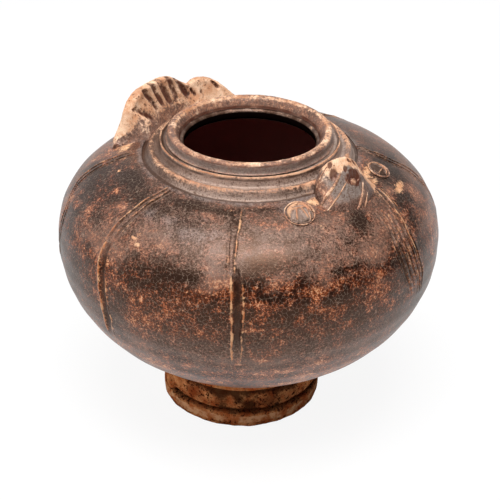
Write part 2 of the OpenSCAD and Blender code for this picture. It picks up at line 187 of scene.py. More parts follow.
def make_piece(node: str, sheet: Sheet, material: bpy.types.Material,
               rough: Sequence[tuple[float, float]] = ()) -> bpy.types.Object:
    """Build a piece that takes the place of one CAD node.

    Args:
        node: The CAD node's name.
        sheet: The piece's skin.
        material: The piece's material.
        rough: Depths and sizes in mm of hollows pressed into the skin along its normals.

    Returns:
        The new object.
    """
    mesh = bpy.data.meshes.new(node)
    mesh.from_pydata((sheet.points.reshape(-1, 3) * MM).tolist(), [], sheet.faces().tolist())
    for name, values in sheet.masks.items():
        full = np.broadcast_to(values, sheet.points.shape[:2]).astype(np.float32).ravel()
        mesh.attributes.new(name, "FLOAT", "POINT").data.foreach_set("value", full)
    skin = bmesh.new()
    skin.from_mesh(mesh)
    bmesh.ops.remove_doubles(skin, verts=skin.verts, dist=2e-7)
    bmesh.ops.recalc_face_normals(skin, faces=skin.faces)
    for seed, (depth, size) in enumerate(rough):
        for vert in skin.verts:
            hollow = 0.5 - 0.5 * noise.noise(vert.co / (size * MM) + Vector((seed * 9.1,) * 3))
            vert.co -= vert.normal * (depth * MM * hollow)
        skin.normal_update()
    skin.to_mesh(mesh)
    skin.free()
    mesh.shade_smooth()
    mesh.set_sharp_from_angle(angle=math.radians(55))
    mesh.materials.append(material)
    piece = bpy.data.objects.new(f"{node}_skin", mesh)
    bpy.context.scene.collection.objects.link(piece)
    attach(piece, "root")
    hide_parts(node)
    LOG.info("%s: %d faces", node, len(mesh.polygons))
    return piece


@dataclass(frozen=True)
class Finish:
    """One surface of the jar: an iron glaze over a clay.

    Attributes:
        name: The material's name.
        dark: The glaze where it lies thickest; low down it also colours what strokes hold, and on the foot its stains
            and painted shade.
        brown: The glaze at its usual depth.
        breaks: Where the glaze thins and breaks.
        grain: The palest grains in those breaks.
        film_and_sheen: The matt grey film on the glaze, which in places also stands for a painted grey sheen.
        pool: Glaze that has run together in a hollow.
        clay: The bare clay.
        clay_pale: The clay's paler shade.
        wash: The brown wash on the clay.
        speck: Iron specks in the clay.
        inlay_and_shade: What strokes and hollows hold near the collar, and the painted shade there.
        zones: Heights in mm with the shares of breaks, film (with its painted sheen) and black streaks there.
        bare: Whether the whole surface is bare clay.
        sheen: Middle roughness of the glaze.
        shine: How strongly the surface mirrors.
        speckle: Level above which iron specks show; a lower one gives more of them.
    """

    name: str
    dark: str
    brown: str
    breaks: str
    grain: str
    film_and_sheen: str
    pool: str
    clay: str
    clay_pale: str
    wash: str
    speck: str
    inlay_and_shade: str
    zones: tuple[tuple[float, float, float, float], ...]
    bare: bool = False
    sheen: float = 0.35
    shine: float = 0.62
    speckle: float = 0.86


# The eye sees a near-black iron glaze that breaks to orange grain in level bands, under a net of pale cracks.
# Its film share is highest from 86 to 98 mm and round 51 to 56 mm, where the film also stands for a painted grey sheen.
BODY_GLAZE = Finish(
    "iron_brown_crackled_glaze", dark="#150603", brown="#542412", breaks="#a95a33", grain="#dca57a",
    film_and_sheen="#7f6152", pool="#766b67", clay="#c08862", clay_pale="#dfb38c", wash="#965a36", speck="#33201a",
    inlay_and_shade="#4a352c", zones=((16, 0.8, 0.1, 0.0), (34, 0.66, 0.2, 0.0), (44, 0.6, 0.3, 0.0), (51, 0.48, 0.4, 0.0), (56, 0.32, 0.6, 0.1),
                            (62, 0.26, 0.25, 0.3), (68, 0.36, 0.1, 0.25), (74, 0.42, 0.0, 0.3), (82, 0.48, 0.0, 0.3),
                            (86, 0.48, 0.55, 0.2), (95, 0.49, 0.9, 0.1), (98, 0.42, 0.5, 0.5), (104, 0.47, 0.3, 0.4)))
# Here the ridges are worn through to pinkish buff clay, and the glaze between them has pooled grey.
COLLAR_GLAZE = Finish(
    "grey_pooled_glaze_on_buff_clay", dark="#4b372e", brown="#8c6a59", breaks="#b07049", grain="#d8a885",
    film_and_sheen="#a18677", pool="#9c877b", clay="#bb8364", clay_pale="#d3a989", wash="#8f5a3a", speck="#57382a",
    inlay_and_shade="#301c13", zones=((0, 0.42, 0.6, 0.1),))
# Head, tail and lip read as matt pinkish buff clay with dark iron specks.
BUFF_CLAY = Finish(
    "bare_pinkish_buff_stoneware", dark="#37211a", brown="#6c4332", breaks="#a05f3c", grain="#d3a17c",
    film_and_sheen="#94786b", pool="#82766f", clay="#c9936f", clay_pale="#eecaab", wash="#a06540", speck="#5e3826",
    inlay_and_shade="#4c261b", zones=((0, 0.42, 0.4, 0.3),))
# The foot is unglazed, and a rust-brown iron wash with dense dark specks covers its clay.
FOOT_CLAY = Finish(
    "rust_washed_foot_stoneware", dark="#200d06", brown="#6a3a1f", breaks="#93552c", grain="#b98a62",
    film_and_sheen="#8a7463", pool="#8a7463", clay="#944b26", clay_pale="#c58656", wash="#642a13", speck="#1d0e09",
    inlay_and_shade="#421b0b", zones=((0, 0.5, 0.3, 0.3),), bare=True, shine=0.02, speckle=0.8)


class Graph:
    """A material's nodes, all added through one function."""

    def __init__(self, name: str) -> None:
        """Start an empty material."""
        self.material = bpy.data.materials.new(name)
        self.material.use_nodes = True
        self.tree = self.material.node_tree
        self.tree.nodes.clear()

    def add(self, kind: str, inputs: dict[Any, Any] | None = None, out: Any = 0, **settings: Any) -> Any:
        """Add a node.

        Args:
            kind: The node's type without "ShaderNode".
            inputs: Values or sockets for its inputs, by name or index.
            out: The output that is wanted, by name or index.
            **settings: Properties of the node.

        Returns:
            The output socket, or None for a node without outputs.
        """
        node = self.tree.nodes.new("ShaderNode" + kind)
        for key, value in settings.items():
            setattr(node, key, value)
        for key, value in (inputs or {}).items():
            if isinstance(value, bpy.types.NodeSocket):
                self.tree.links.new(value, node.inputs[key])
            else:
                node.inputs[key].default_value = value
        return node.outputs[out] if len(node.outputs) else None

    def blend(self, share: Any, first: Any, second: Any) -> Any:
        """Mix two colours."""
        return self.add("Mix", {0: share, 6: first, 7: second}, out=2, data_type="RGBA")

    def times(self, first: Any, second: Any) -> Any:
        """Multiply two numbers."""
        return self.add("Math", {0: first, 1: second}, operation="MULTIPLY")

    def plus(self, first: Any, share: float, second: Any) -> Any:
        """Add a share of one number to another."""
        return self.add("Math", {0: first, 1: share, 2: second}, operation="MULTIPLY_ADD")

    def step(self, value: Any, low: float, high: float, top: float = 1.0) -> Any:
        """Ease a number from 0 at low to top at high."""
        return self.add("MapRange", {"Value": value, "From Min": low, "From Max": high, "To Max": top},
                        interpolation_type="SMOOTHSTEP")


TALLEST = 120.0


def stoneware(finish: Finish) -> bpy.types.Material:
    """Build a glazed or bare stoneware surface.

    Args:
        finish: The surface's colours and amounts.

    Returns:
        The material.
    """
    g = Graph(finish.name)
    spot = g.add("TexCoord", out="Object")

    def cloud(size: float, detail: float = 3.0, flat: float = 1.0) -> Any:
        """Add noise with features of a size in mm, drawn out level by a factor."""
        where = g.add("Mapping", {"Vector": spot, "Location": (size, 0.0, 0.0), "Scale": (1.0, 1.0, flat)})
        return g.add("TexNoise", {"Vector": where, "Scale": 1 / (size * MM), "Detail": detail, "Roughness": 0.6})

    masks = {name: g.add("Attribute", out="Fac", attribute_name=name)
             for name in ("bare", "pool", "cut", "edge", "deep", "thick", "clear")}
    drift = g.add("TexNoise", {"Vector": spot, "Scale": 1 / (2.4 * MM), "Detail": 2.0}, out=1)
    warped = g.add("VectorMath", {0: drift, 1: (1.1 * MM,) * 3, 2: spot}, operation="MULTIPLY_ADD")
    clouds, banks, blots, flecks = cloud(14, 5), cloud(15, 4, 3.2), cloud(4.2, 4), cloud(2.1, 3)
    grit, dust = cloud(0.9, 3), cloud(0.5, 2)

    # Level zones of the glaze, whose borders wander by a few millimetres
    height = g.plus(clouds, 26 / TALLEST, g.plus(g.add("SeparateXYZ", {0: spot}, out="Z"), 1 / (TALLEST * MM),
                                                 -13 / TALLEST))
    ramp = g.add("ValToRGB", {"Fac": height})
    stops = ramp.node.color_ramp.elements
    for z, *shares in finish.zones:
        stop = stops[0] if z == finish.zones[0][0] else stops.new(z / TALLEST)
        stop.position, stop.color = z / TALLEST, (*shares, 1.0)
    stops.remove(stops[-1])
    zone = [g.add("SeparateColor", {0: ramp}, out=k) for k in range(3)]

    # The glaze: dark to brown, orange grain where it breaks, black streaks, and a grey film that in places also paints
    # a grey sheen
    cell = g.add("TexVoronoi", {"Vector": warped, "Scale": 1 / (1.45 * MM)}, out="Distance",
                 feature="DISTANCE_TO_EDGE")
    thin = g.plus(clouds, 1.5, g.plus(blots, 1.5, g.plus(banks, 1.0, g.plus(zone[0], 1.0, -2.15))))
    thin = g.plus(flecks, 1.3, g.plus(thin, 1.0, -0.65))
    thin = g.plus(g.step(cell, 0.22, 0.0), 0.1, g.plus(masks["thick"], -1.0, thin))
    fine = g.plus(dust, 1.4, g.plus(grit, 1.1, -1.25))
    glaze = g.blend(g.step(g.plus(fine, 1.4, thin), 0.05, 0.7), linear(finish.dark), linear(finish.brown))
    grains = g.plus(thin, 0.55, g.times(fine, 1.05))
    broken = g.step(grains, 0.33, 0.49)
    glaze = g.blend(g.times(broken, 0.9), glaze, linear(finish.breaks))
    glaze = g.blend(g.step(grains, 0.54, 0.68), glaze, linear(finish.grain))
    streak = g.times(g.step(g.plus(fine, 0.4, banks), 0.53, 0.6), zone[2])
    glaze = g.blend(streak, glaze, linear(finish.dark))
    film_and_sheen_share = g.times(zone[1], g.step(g.plus(masks["thick"], -0.6, g.plus(fine, 0.5, clouds)), 0.25, 0.6))
    film_and_sheen_share = g.times(film_and_sheen_share, g.plus(masks["clear"], -1.0, 1.0))
    glaze = g.blend(g.times(film_and_sheen_share, 0.8), glaze, linear(finish.film_and_sheen))
    pooled = g.step(g.plus(masks["pool"], 0.9, blots), 0.6, 1.15)
    glaze = g.blend(g.times(pooled, g.step(fine, -0.4, 0.2)), glaze, linear(finish.pool))
    crack = g.times(g.step(cell, 0.04, 0.005), g.step(grit, 0.36, 0.56))
    glaze = g.blend(g.times(crack, 0.34), glaze, linear("#bfa792"))

    # The clay: warm clouds, a brown wash, iron specks and fine grain
    clay = g.blend(g.step(g.plus(dust, 0.6, blots), 0.62, 0.98), linear(finish.clay), linear(finish.clay_pale))
    clay = g.blend(g.step(g.plus(dust, 0.3, clouds), 0.66, 0.78, 0.6), clay, linear(finish.wash))
    specks = g.times(g.step(g.plus(dust, 0.5, cloud(1.3, 2)), finish.speckle, finish.speckle + 0.06),
                     g.step(clouds, 0.4, 0.5, 0.9))
    clay = g.blend(specks, clay, linear(finish.speck))
    clay = g.blend(g.step(dust, 0.52, 0.68, 0.35), clay, linear(finish.wash))
    ragged = g.plus(grit, 0.9, g.plus(blots, 0.7, masks["bare"]))
    worn = 1.0 if finish.bare else g.step(ragged, 1.15, 1.45)
    colour = g.blend(worn, glaze, clay)

    # Stroke edges are worn to pale clay here and there, and strokes hold dark glaze, greyer higher up. The cut mask
    # also carries painted shade (under the lip's crest, on the collar's base step, in the foot's groove and under the
    # globe's overhang), which takes the same dark colour.
    rubbed = g.step(g.plus(blots, 1.0, g.plus(grit, 1.8, masks["edge"])), 1.85, 2.4, 0.9)
    colour = g.blend(rubbed, colour, g.blend(g.step(blots, 0.4, 0.6), linear("#a8633b"), linear("#c99a72")))
    inlay_and_shade = g.blend(g.step(height, 88 / TALLEST, 96 / TALLEST), linear(finish.dark), linear(finish.inlay_and_shade))
    sunk = g.plus(blots, 0.7, g.plus(dust, 0.3, g.plus(grit, 0.6, masks["cut"])))
    colour = g.blend(g.step(sunk, 0.95, 1.5, 0.9), colour, inlay_and_shade)
    # Inside the jar: its own reddish clay colour where deep is 1, and near-black painted shade where deep is about 0.5,
    # on the throat wall
    inside_colour_and_painted_shade = g.blend(g.step(masks["deep"], 0.6, 1.0), linear("#0d0605"), linear("#94605a"))
    colour = g.blend(g.step(masks["deep"], 0.0, 0.4), colour, inside_colour_and_painted_shade)

    relief = g.plus(crack, -0.3, g.plus(dust, 0.5, grit))
    normal = g.add("Bump", {"Strength": 0.5, "Distance": 0.12 * MM, "Height": relief})
    gloss = g.plus(film_and_sheen_share, 0.08, g.plus(grit, 0.3, finish.sheen - 0.15))
    rough = g.add("Mix", {0: worn, 2: gloss, 3: 0.8}, data_type="FLOAT")
    tint = g.blend(film_and_sheen_share, linear("#ffc8a8"), linear("#fff0e8"))
    mirror = g.times(g.step(height, 22 / TALLEST, 58 / TALLEST, finish.shine), g.step(masks["deep"], 0.5, 0.0))
    surface = g.add("BsdfPrincipled", {"Base Color": colour, "Roughness": rough, "Normal": normal,
                                       "Specular IOR Level": mirror, "Specular Tint": tint})
    g.add("OutputMaterial", {"Surface": surface})
    return g.material


@dataclass(frozen=True)
class Curve:
    """The globe's outline, outside or inside."""

    radius: float
    drop: float
    rise: float
    belly_z: float = 68.5
    full: float = 2.9
    flat: float = 2.35

    def bowl(self, z_low: float) -> np.ndarray:
        """Return the curve from height z_low up to the belly."""
        t = np.linspace(math.acos(min(1.0, (self.belly_z - z_low) / self.drop)), math.pi / 2, 200)
        return np.stack([self.radius * np.sin(t), self.belly_z - self.drop * np.cos(t)], axis=1)

    def shoulder(self, r_top: float) -> np.ndarray:
        """Return the curve from the belly up to radius r_top."""
        t = np.linspace(0, math.acos((r_top / self.radius) ** (self.full / 2)), 400)
        r = self.radius * np.cos(t) ** (2 / self.full)
        return np.stack([r, self.belly_z + self.rise * np.sin(t) ** (2 / self.flat)], axis=1)

    def top_z(self, r: Any) -> Any:
        """Return the shoulder's height at a radius."""
        return self.belly_z + self.rise * (1 - (r / self.radius) ** self.full) ** (1 / self.flat)


OUTSIDE = Curve(70.2, 52.5, 35.0)
INSIDE = Curve(65.2, 42.1, 30.0)
FOOT_Z = 21.4
COLLAR_R = 39.0


@dataclass(frozen=True)
class Stroke:
    """A stroke cut down the globe.

    Attributes:
        path: Heights, azimuths and widths along the stroke, from its low end up.
        depth: Its depth.
        lips: How pale and raised its left and right edges are, from 0 to 1.
        fade: Height over which its low end runs out.
        fade_top: Height over which its upper end runs out.
        ink: How much dark glaze it holds.
    """

    path: tuple[tuple[float, float, float], ...]
    depth: float
    lips: tuple[float, float]
    fade: float = 3.0
    fade_top: float = 1.0
    ink: float = 1.0


def comb(first: float, span: float, count: int = 5) -> list[Stroke]:
    """Return a group of comb strokes that bend together, from their upper left azimuth over a span."""
    rng = random.Random(round(first))
    strokes = []
    for k in range(count):
        share = k / (count - 1)
        top = first + span * share
        bends = ((rng.uniform(61, 69), top + 1.6 - 2.3 * share), (72.5, top - 0.7 - 0.9 * share),
                 (77.6, top - 2.1 - 0.6 * share), (82.0, top - 2.5), (86.0, top - 2.6), (88.5, top - 1.5),
                 (90.9, top - 0.65), (rng.uniform(93.0, 94.6), top))
        path = tuple((z, az, rng.uniform(0.7, 1.6)) for z, az in bends)
        strokes.append(Stroke(path, 0.55, (rng.uniform(0.5, 0.85), rng.uniform(0.3, 0.6)), 9.0))
    return strokes


STROKES = [
    Stroke(((54, -2.9, 2.2), (60, -2.8, 2.8), (73, -2.6, 3.2), (80, -2.7, 3.5), (85, -3.0, 3.3), (89, -3.7, 2.2)),
           0.95, (1.05, 0.75), 16.0, fade_top=6.0, ink=0.66),
    Stroke(((85, -4.6, 1.6), (89.7, -5.1, 1.9), (94.3, -5.3, 2.1), (97.4, -5.3, 2.6), (99.6, -5.5, 3.2)), 0.2,
           (0.45, 0.7), 6.0),
    Stroke(((51.5, -45.6, 2.6), (60, -44.2, 3.2), (68, -44.7, 3.2), (73, -45.5, 3.3), (79, -46.5, 3.3),
            (84, -47.2, 3.2), (88.5, -47.1, 2.6)), 0.9, (1.1, 0.6), 7.0, fade_top=4.0, ink=0.58),
    Stroke(((86, -48.7, 0.9), (92, -48.2, 1.2), (94.5, -47.6, 1.2), (98, -46.3, 1.3), (100.3, -43.6, 1.2)),
           0.5, (1.0, 0.4)),
    Stroke(((87, -46.0, 1.0), (92, -45.6, 1.3), (94.5, -44.9, 1.3), (98, -43.6, 1.4), (100.3, -41.0, 1.2)),
           0.5, (0.6, 0.5)),
    Stroke(((53, -79.2, 1.0), (79.4, -78.5, 1.1), (83.6, -80.6, 1.0), (87.1, -84.0, 0.9), (89.4, -87.2, 1.0),
            (95, -89.4, 1.1), (99.8, -89.4, 1.0)), 0.5, (0.6, 0.4)),
    Stroke(((62, -76.6, 1.0), (79.4, -76.1, 1.1), (83.6, -78.2, 1.0), (87.1, -81.6, 0.9), (89.4, -84.8, 1.0),
            (95, -86.6, 1.1), (99.8, -86.6, 1.0)), 0.5, (0.4, 0.4)),
    Stroke(((51.5, -176.0, 2.4), (75, -175.0, 3.0), (100, -176.5, 2.6)), 0.9, (0.9, 0.7)),
    Stroke(((51.5, 142.0, 2.4), (78, 141.0, 3.0), (100, 142.5, 2.6)), 0.9, (0.8, 0.8)),
    Stroke(((51.5, 91.0, 1.0), (80, 91.3, 1.1), (97, 91.8, 1.2), (99.5, 93.3, 1.1), (100.2, 96, 1.0)),
           0.6, (0.5, 0.4)),
    Stroke(((56, 93.6, 1.0), (80, 93.9, 1.1), (97, 94.4, 1.2), (99.5, 95.9, 1.1), (100.2, 98.6, 1.0)),
           0.6, (0.3, 0.5)),
    *comb(53.3, 8.9), *comb(-134.0, 8.9),
    # Pale streaks that fan down from the head's right side
    Stroke(((92.8, 59.2, 0.5), (93.9, 60.0, 0.7), (96, 61.6, 0.6), (97.6, 62.9, 0.5)), 0.15, (0.9, 0.7)),
    Stroke(((91.8, 61.2, 0.5), (95, 63.2, 0.7), (97.2, 65.0, 0.5)), 0.15, (0.6, 0.9)),
    Stroke(((91.5, 63.2, 0.5), (94.2, 64.9, 0.8), (96.8, 67.2, 0.5)), 0.15, (0.9, 0.4)),
]


@dataclass(frozen=True)
class Patch:
    """A soft-edged spot on the globe, where the glaze is unlike its surroundings.

    Attributes:
        az, z: Its middle.
        wide, tall: Half its size along the level and up the wall.
        thick: How much thicker the glaze is there; below 0 it is thinner and breaks.
        bare: How far it is chipped to the clay.
        pool: How grey the glaze has pooled.
        clear: How much of the film, with its painted sheen, is missing.
    """

    az: float
    z: float
    wide: float
    tall: float
    thick: float = 0.0
    bare: float = 0.0
    pool: float = 0.0
    clear: float = 0.0


PATCHES = (
    Patch(-74, 95, 22, 11, thick=0.22, clear=1.0), Patch(-80, 98.5, 14, 4, thick=0.15), Patch(66, 91, 14, 11, clear=0.7), Patch(-67, 98.4, 6, 3.5, thick=0.4), Patch(-46, 97.5, 9, 4, thick=0.35),
    Patch(-77, 93, 4, 3, thick=0.3), Patch(-70.5, 86, 4, 3, thick=0.3), Patch(-60.5, 95, 3, 2.5, thick=0.3),
    Patch(-54, 95, 2.5, 2, thick=-0.65), Patch(-66, 90, 3, 3, thick=-0.6), Patch(-73, 88, 2, 2, thick=-0.6),
    Patch(-63, 96.5, 2, 1.5, thick=-0.5), Patch(-20, 95, 14, 6, thick=0.12, pool=0.4),
    Patch(-40, 96.5, 8, 3, thick=0.15, pool=0.3), Patch(-62, 99, 5, 2, thick=0.45),
    Patch(88, 97.5, 12, 5, thick=0.45), Patch(-22, 84.5, 8, 3, thick=0.4), Patch(-16.5, 85, 3.5, 3, thick=0.5), Patch(-9, 85, 4, 3, thick=-0.3),
    Patch(10, 85, 5, 3, thick=-0.25),
    Patch(-26, 99.4, 7, 1.6, thick=0.6), Patch(-10, 99.4, 5, 1.4, thick=0.5),
    Patch(8, 99.8, 5, 0.8, thick=0.5), Patch(6, 97.8, 6, 1.8, thick=-0.35, clear=0.6), Patch(44, 95, 5, 4, thick=0.6), Patch(66, 89.5, 3, 4, thick=0.5),
    Patch(73, 92, 4, 6, thick=0.5), Patch(6, 80.5, 4, 1.2, thick=0.8), Patch(-0.6, 80.2, 2, 1.2, thick=0.7),
    Patch(12, 75, 4, 1.2, thick=0.6), Patch(25, 77.3, 5, 1.5, thick=0.6), Patch(30, 85.5, 6, 1.2, thick=0.6),
    Patch(78, 91, 4, 4, thick=-0.4), Patch(69, 96, 3, 2, thick=-0.5), Patch(4.4, 55.8, 2.2, 0.9, thick=-0.55),
    Patch(23.5, 50.2, 3, 1.5, thick=-0.5), Patch(36.3, 68.8, 1.6, 2.6, thick=-0.6), Patch(2.5, 69.3, 4, 0.9, thick=-0.5),
    Patch(11, 48.5, 3, 1.5, thick=-0.5), Patch(19, 80.2, 2.6, 2.2, thick=-0.6), Patch(12, 93, 9, 2, thick=-0.2),
    Patch(-39.8, 90.8, 1.6, 0.8, bare=0.9), Patch(-38.3, 92, 1.2, 0.6, bare=0.9), Patch(-37, 89.7, 1.3, 0.9, bare=0.6),
    Patch(-75.8, 98.1, 1.1, 0.7, bare=0.9), Patch(-28, 91.5, 3, 2, thick=-0.5), Patch(-100, 99, 8, 3, bare=0.35),
    Patch(34.5, 99.9, 4.5, 4, bare=0.5, thick=-0.4), Patch(21, 99.5, 9, 3.5, pool=0.5), Patch(76, 99.6, 9, 1.8, bare=0.6),
    Patch(86, 96.4, 4, 2.8, bare=0.25), Patch(68, 98.5, 4.5, 3, bare=0.6), Patch(74.5, 94.8, 6, 3, bare=0.42),
    Patch(66.5, 93.5, 4, 3, thick=0.3), Patch(61.5, 97.2, 1.5, 2.5, bare=0.4), Patch(82, 80, 7, 8, thick=-0.2),
    Patch(35, 96.8, 6, 1.6, bare=0.3, thick=-0.2),
    Patch(76, 94.6, 5, 1.3, bare=0.45), Patch(-112, 98.8, 16, 4.5, bare=0.3, thick=-0.5), Patch(-97, 97, 7, 4.5, bare=0.3, thick=-0.4),
    Patch(61, 90, 3, 5, bare=0.35), Patch(14.5, 98.2, 4, 2, bare=0.4), Patch(27, 96, 4, 2, bare=0.35),
    Patch(28, 99.8, 6, 1.6, bare=0.35), Patch(17, 95.6, 5, 1.3, bare=0.4), Patch(8, 91, 14, 5, thick=0.25),
    Patch(-18, 88, 9, 4, thick=0.3), Patch(36, 92, 10, 4, thick=0.3), Patch(-58, 90, 10, 6, thick=0.1), Patch(56, 97.5, 3, 2.5, bare=0.45), Patch(52, 91.5, 2, 4, bare=0.35),
)


class Globe:
    """The bowl and the shoulder, with their strokes."""

    def __init__(self) -> None:
        """Choose the columns: close together at the strokes, and wider apart elsewhere."""
        coarse = set(np.round(np.arange(-180, 180, 0.8 * COARSE), 2))
        fine: set[float] = set()
        for stroke in STROKES:
            turns = [az for _, az, _ in stroke.path]
            reach = 1.2 + max(width for _, _, width in stroke.path)
            fine |= set(np.round(np.arange(min(turns) - reach, max(turns) + reach, 0.22 * COARSE), 2))
        wrapped = {(az + 180) % 360 - 180 for az in coarse | fine}
        self.az = np.array(sorted({round(az, 2) for az in wrapped}))

    def relief(self, r: np.ndarray, z: np.ndarray) -> tuple[np.ndarray, np.ndarray, np.ndarray]:
        """Return the skin's offsets and its stroke and edge masks at rows of the outline."""
        az = self.az[None, :]
        rows_r, rows_z = r[:, None], z[:, None]
        cut, edge = np.zeros((len(r), len(self.az))), np.zeros((len(r), len(self.az)))
        offset = np.zeros_like(cut)
        for number, stroke in enumerate(STROKES):
            rng = np.random.default_rng(number)
            heights, turns, widths = np.array(stroke.path).T
            path = np.interp(z, heights, turns)[:, None]
            waver = np.interp(z, np.arange(40, 110, 1.3), rng.uniform(-1, 1, 54))[:, None]
            half = 0.5 * np.interp(z, heights, widths)[:, None] * (1 + 0.15 * waver)
            aside = np.radians((az - path + 180) % 360 - 180) * rows_r
            top = smooth(heights[-1] + 0.8, heights[-1] + 0.8 - stroke.fade_top, rows_z)
            trough = np.clip(1 - (aside / half) ** 2, 0, 1) * top * smooth(heights[0], heights[0] + stroke.fade, rows_z)
            offset -= stroke.depth * trough
            cut = np.maximum(cut, trough * min(1.0, 1.25 * stroke.depth - 0.15) * stroke.ink)
            ends = top * smooth(heights[0] - 1, heights[0] + 2, rows_z)
            for side, pale in zip((-1, 1), stroke.lips):
                past, worn = aside * side - half - 0.25, pale * ends * (1 + 0.45 * side * waver)
                offset += 0.25 * worn * np.exp(-(past / 0.45) ** 2)
                edge = np.maximum(edge, worn * np.exp(-(past / (0.25 + 0.22 * half)) ** 2))
        wheel = 0.06 * np.sin(rows_z * 0.9 + 0.6 * ripple(az, 3)) + 0.08 * ripple(az, 4, 3, 7)
        return offset + wheel - 0.2, cut, edge

    def skin(self, outer: np.ndarray, inner: np.ndarray, start: np.ndarray, finish: np.ndarray) -> Sheet:
        """Return a closed skin from an outer line, an inner line and the points that close them."""
        tangent = np.gradient(outer, axis=0)
        tangent /= np.linalg.norm(tangent, axis=1, keepdims=True)
        offset, cut, edge = self.relief(outer[:, 0], outer[:, 1])
        offset += 0.12 * (lumps(polar(self.az[None, :], outer[:, :1], outer[:, 1:]), 9.0, 1) - 1)
        r = np.minimum(outer[:, :1] + tangent[:, 1:] * offset, OUTSIDE.radius - 0.06)
        z = outer[:, 1:] - tangent[:, :1] * offset
        shell = polar(self.az[None, :], r, z)
        rest = np.concatenate([inner, finish])
        others = polar(self.az[None, :], rest[:, :1], rest[:, 1:])
        opening = polar(self.az[None, :], start[:, :1], start[:, 1:])
        before, after = len(start), len(rest)
        pad = ((before, after), (0, 0))
        marks = {name: np.zeros_like(cut) for name in ("thick", "bare", "pool", "clear")}
        rise = np.cumsum(np.linalg.norm(np.diff(outer, axis=0, prepend=outer[:1]), axis=1))
        for patch in PATCHES:
            if not outer[0, 1] <= patch.z <= outer[-1, 1]:
                continue
            aside = np.radians((self.az[None, :] - patch.az + 180) % 360 - 180) * outer[:, :1]
            above = (rise - np.interp(patch.z, outer[:, 1], rise))[:, None]
            here = np.exp(-(aside / patch.wide) ** 2 - (above / patch.tall) ** 2)
            for name in marks:
                marks[name] += getattr(patch, name) * here
        deep = np.concatenate([np.zeros(before + len(outer)), np.ones(after)])[:, None]
        marks["clear"] = np.clip(marks["clear"], 0, 1)
        marks["pool"] += (0.4 + 0.25 * ripple(self.az[None, :], 81, 5, 30)) * smooth(42.0, 39.5, outer[:, :1]) * (outer[:, 1:] > 90)
        masks = {name: np.pad(values, pad) for name, values in
                 {"cut": cut, "edge": edge, **marks}.items()}
        return Sheet(np.concatenate([opening, shell, others]), {**masks, "deep": deep})

    def build(self, glaze: bpy.types.Material) -> None:
        """Build both halves."""
        step = 0.7 * COARSE
        low = self.skin(resample(OUTSIDE.bowl(FOOT_Z), step), resample(INSIDE.bowl(26.4)[::-1], 3.0),
                        np.array([[0.0, FOOT_Z]]), np.array([[0.0, 26.4]]))
        make_piece("lower_body", low, glaze)
        inner = resample(INSIDE.shoulder(COLLAR_R)[::-1], 3.0)
        high = self.skin(resample(OUTSIDE.shoulder(COLLAR_R), step), inner, np.zeros((0, 2)), np.zeros((0, 2)))
        high.wrap_rows = True
        make_piece("shoulder", high, glaze)


def turned(profile: Sequence[tuple[float, float, float, float]], columns: int, seed: int, sway: float,
           shift: tuple[float, float] = (0.0, 0.0), step: float = 0.35) -> Sheet:
    """Turn a closed outline into a slightly uneven ring.

    Args:
        profile: Radius, height, bareness and pooling of each corner, outside first.
        columns: Columns round the ring.
        seed: Seed of the unevenness.
        sway: Depth of the unevenness.
        shift: How far the ring's axis is off the globe's.
        step: Distance between rows.

    Returns:
        The ring's skin.
    """
    ring = rounded(np.array(profile, dtype=float), 2, closed=True)
    ring = resample(np.concatenate([ring, ring[:1]]), step * COARSE)[:-1]
    az = np.linspace(-180, 180, round(columns / COARSE), endpoint=False)
    lift = sway * ripple(az, seed, 2, 12)[None, :]
    spread = sway * ripple(az, seed + 1, 2, 14)[None, :]
    free = np.clip(ring[:, 2:3] + ring[:, 3:4], 0, 1)
    points = polar(az[None, :], ring[:, :1] + spread * free, ring[:, 1:2] + lift * free)
    points[..., 0] += shift[0]
    points[..., 1] += shift[1]
    return Sheet(points, {"bare": ring[:, 2:3], "pool": ring[:, 3:4]}, wrap_rows=True)


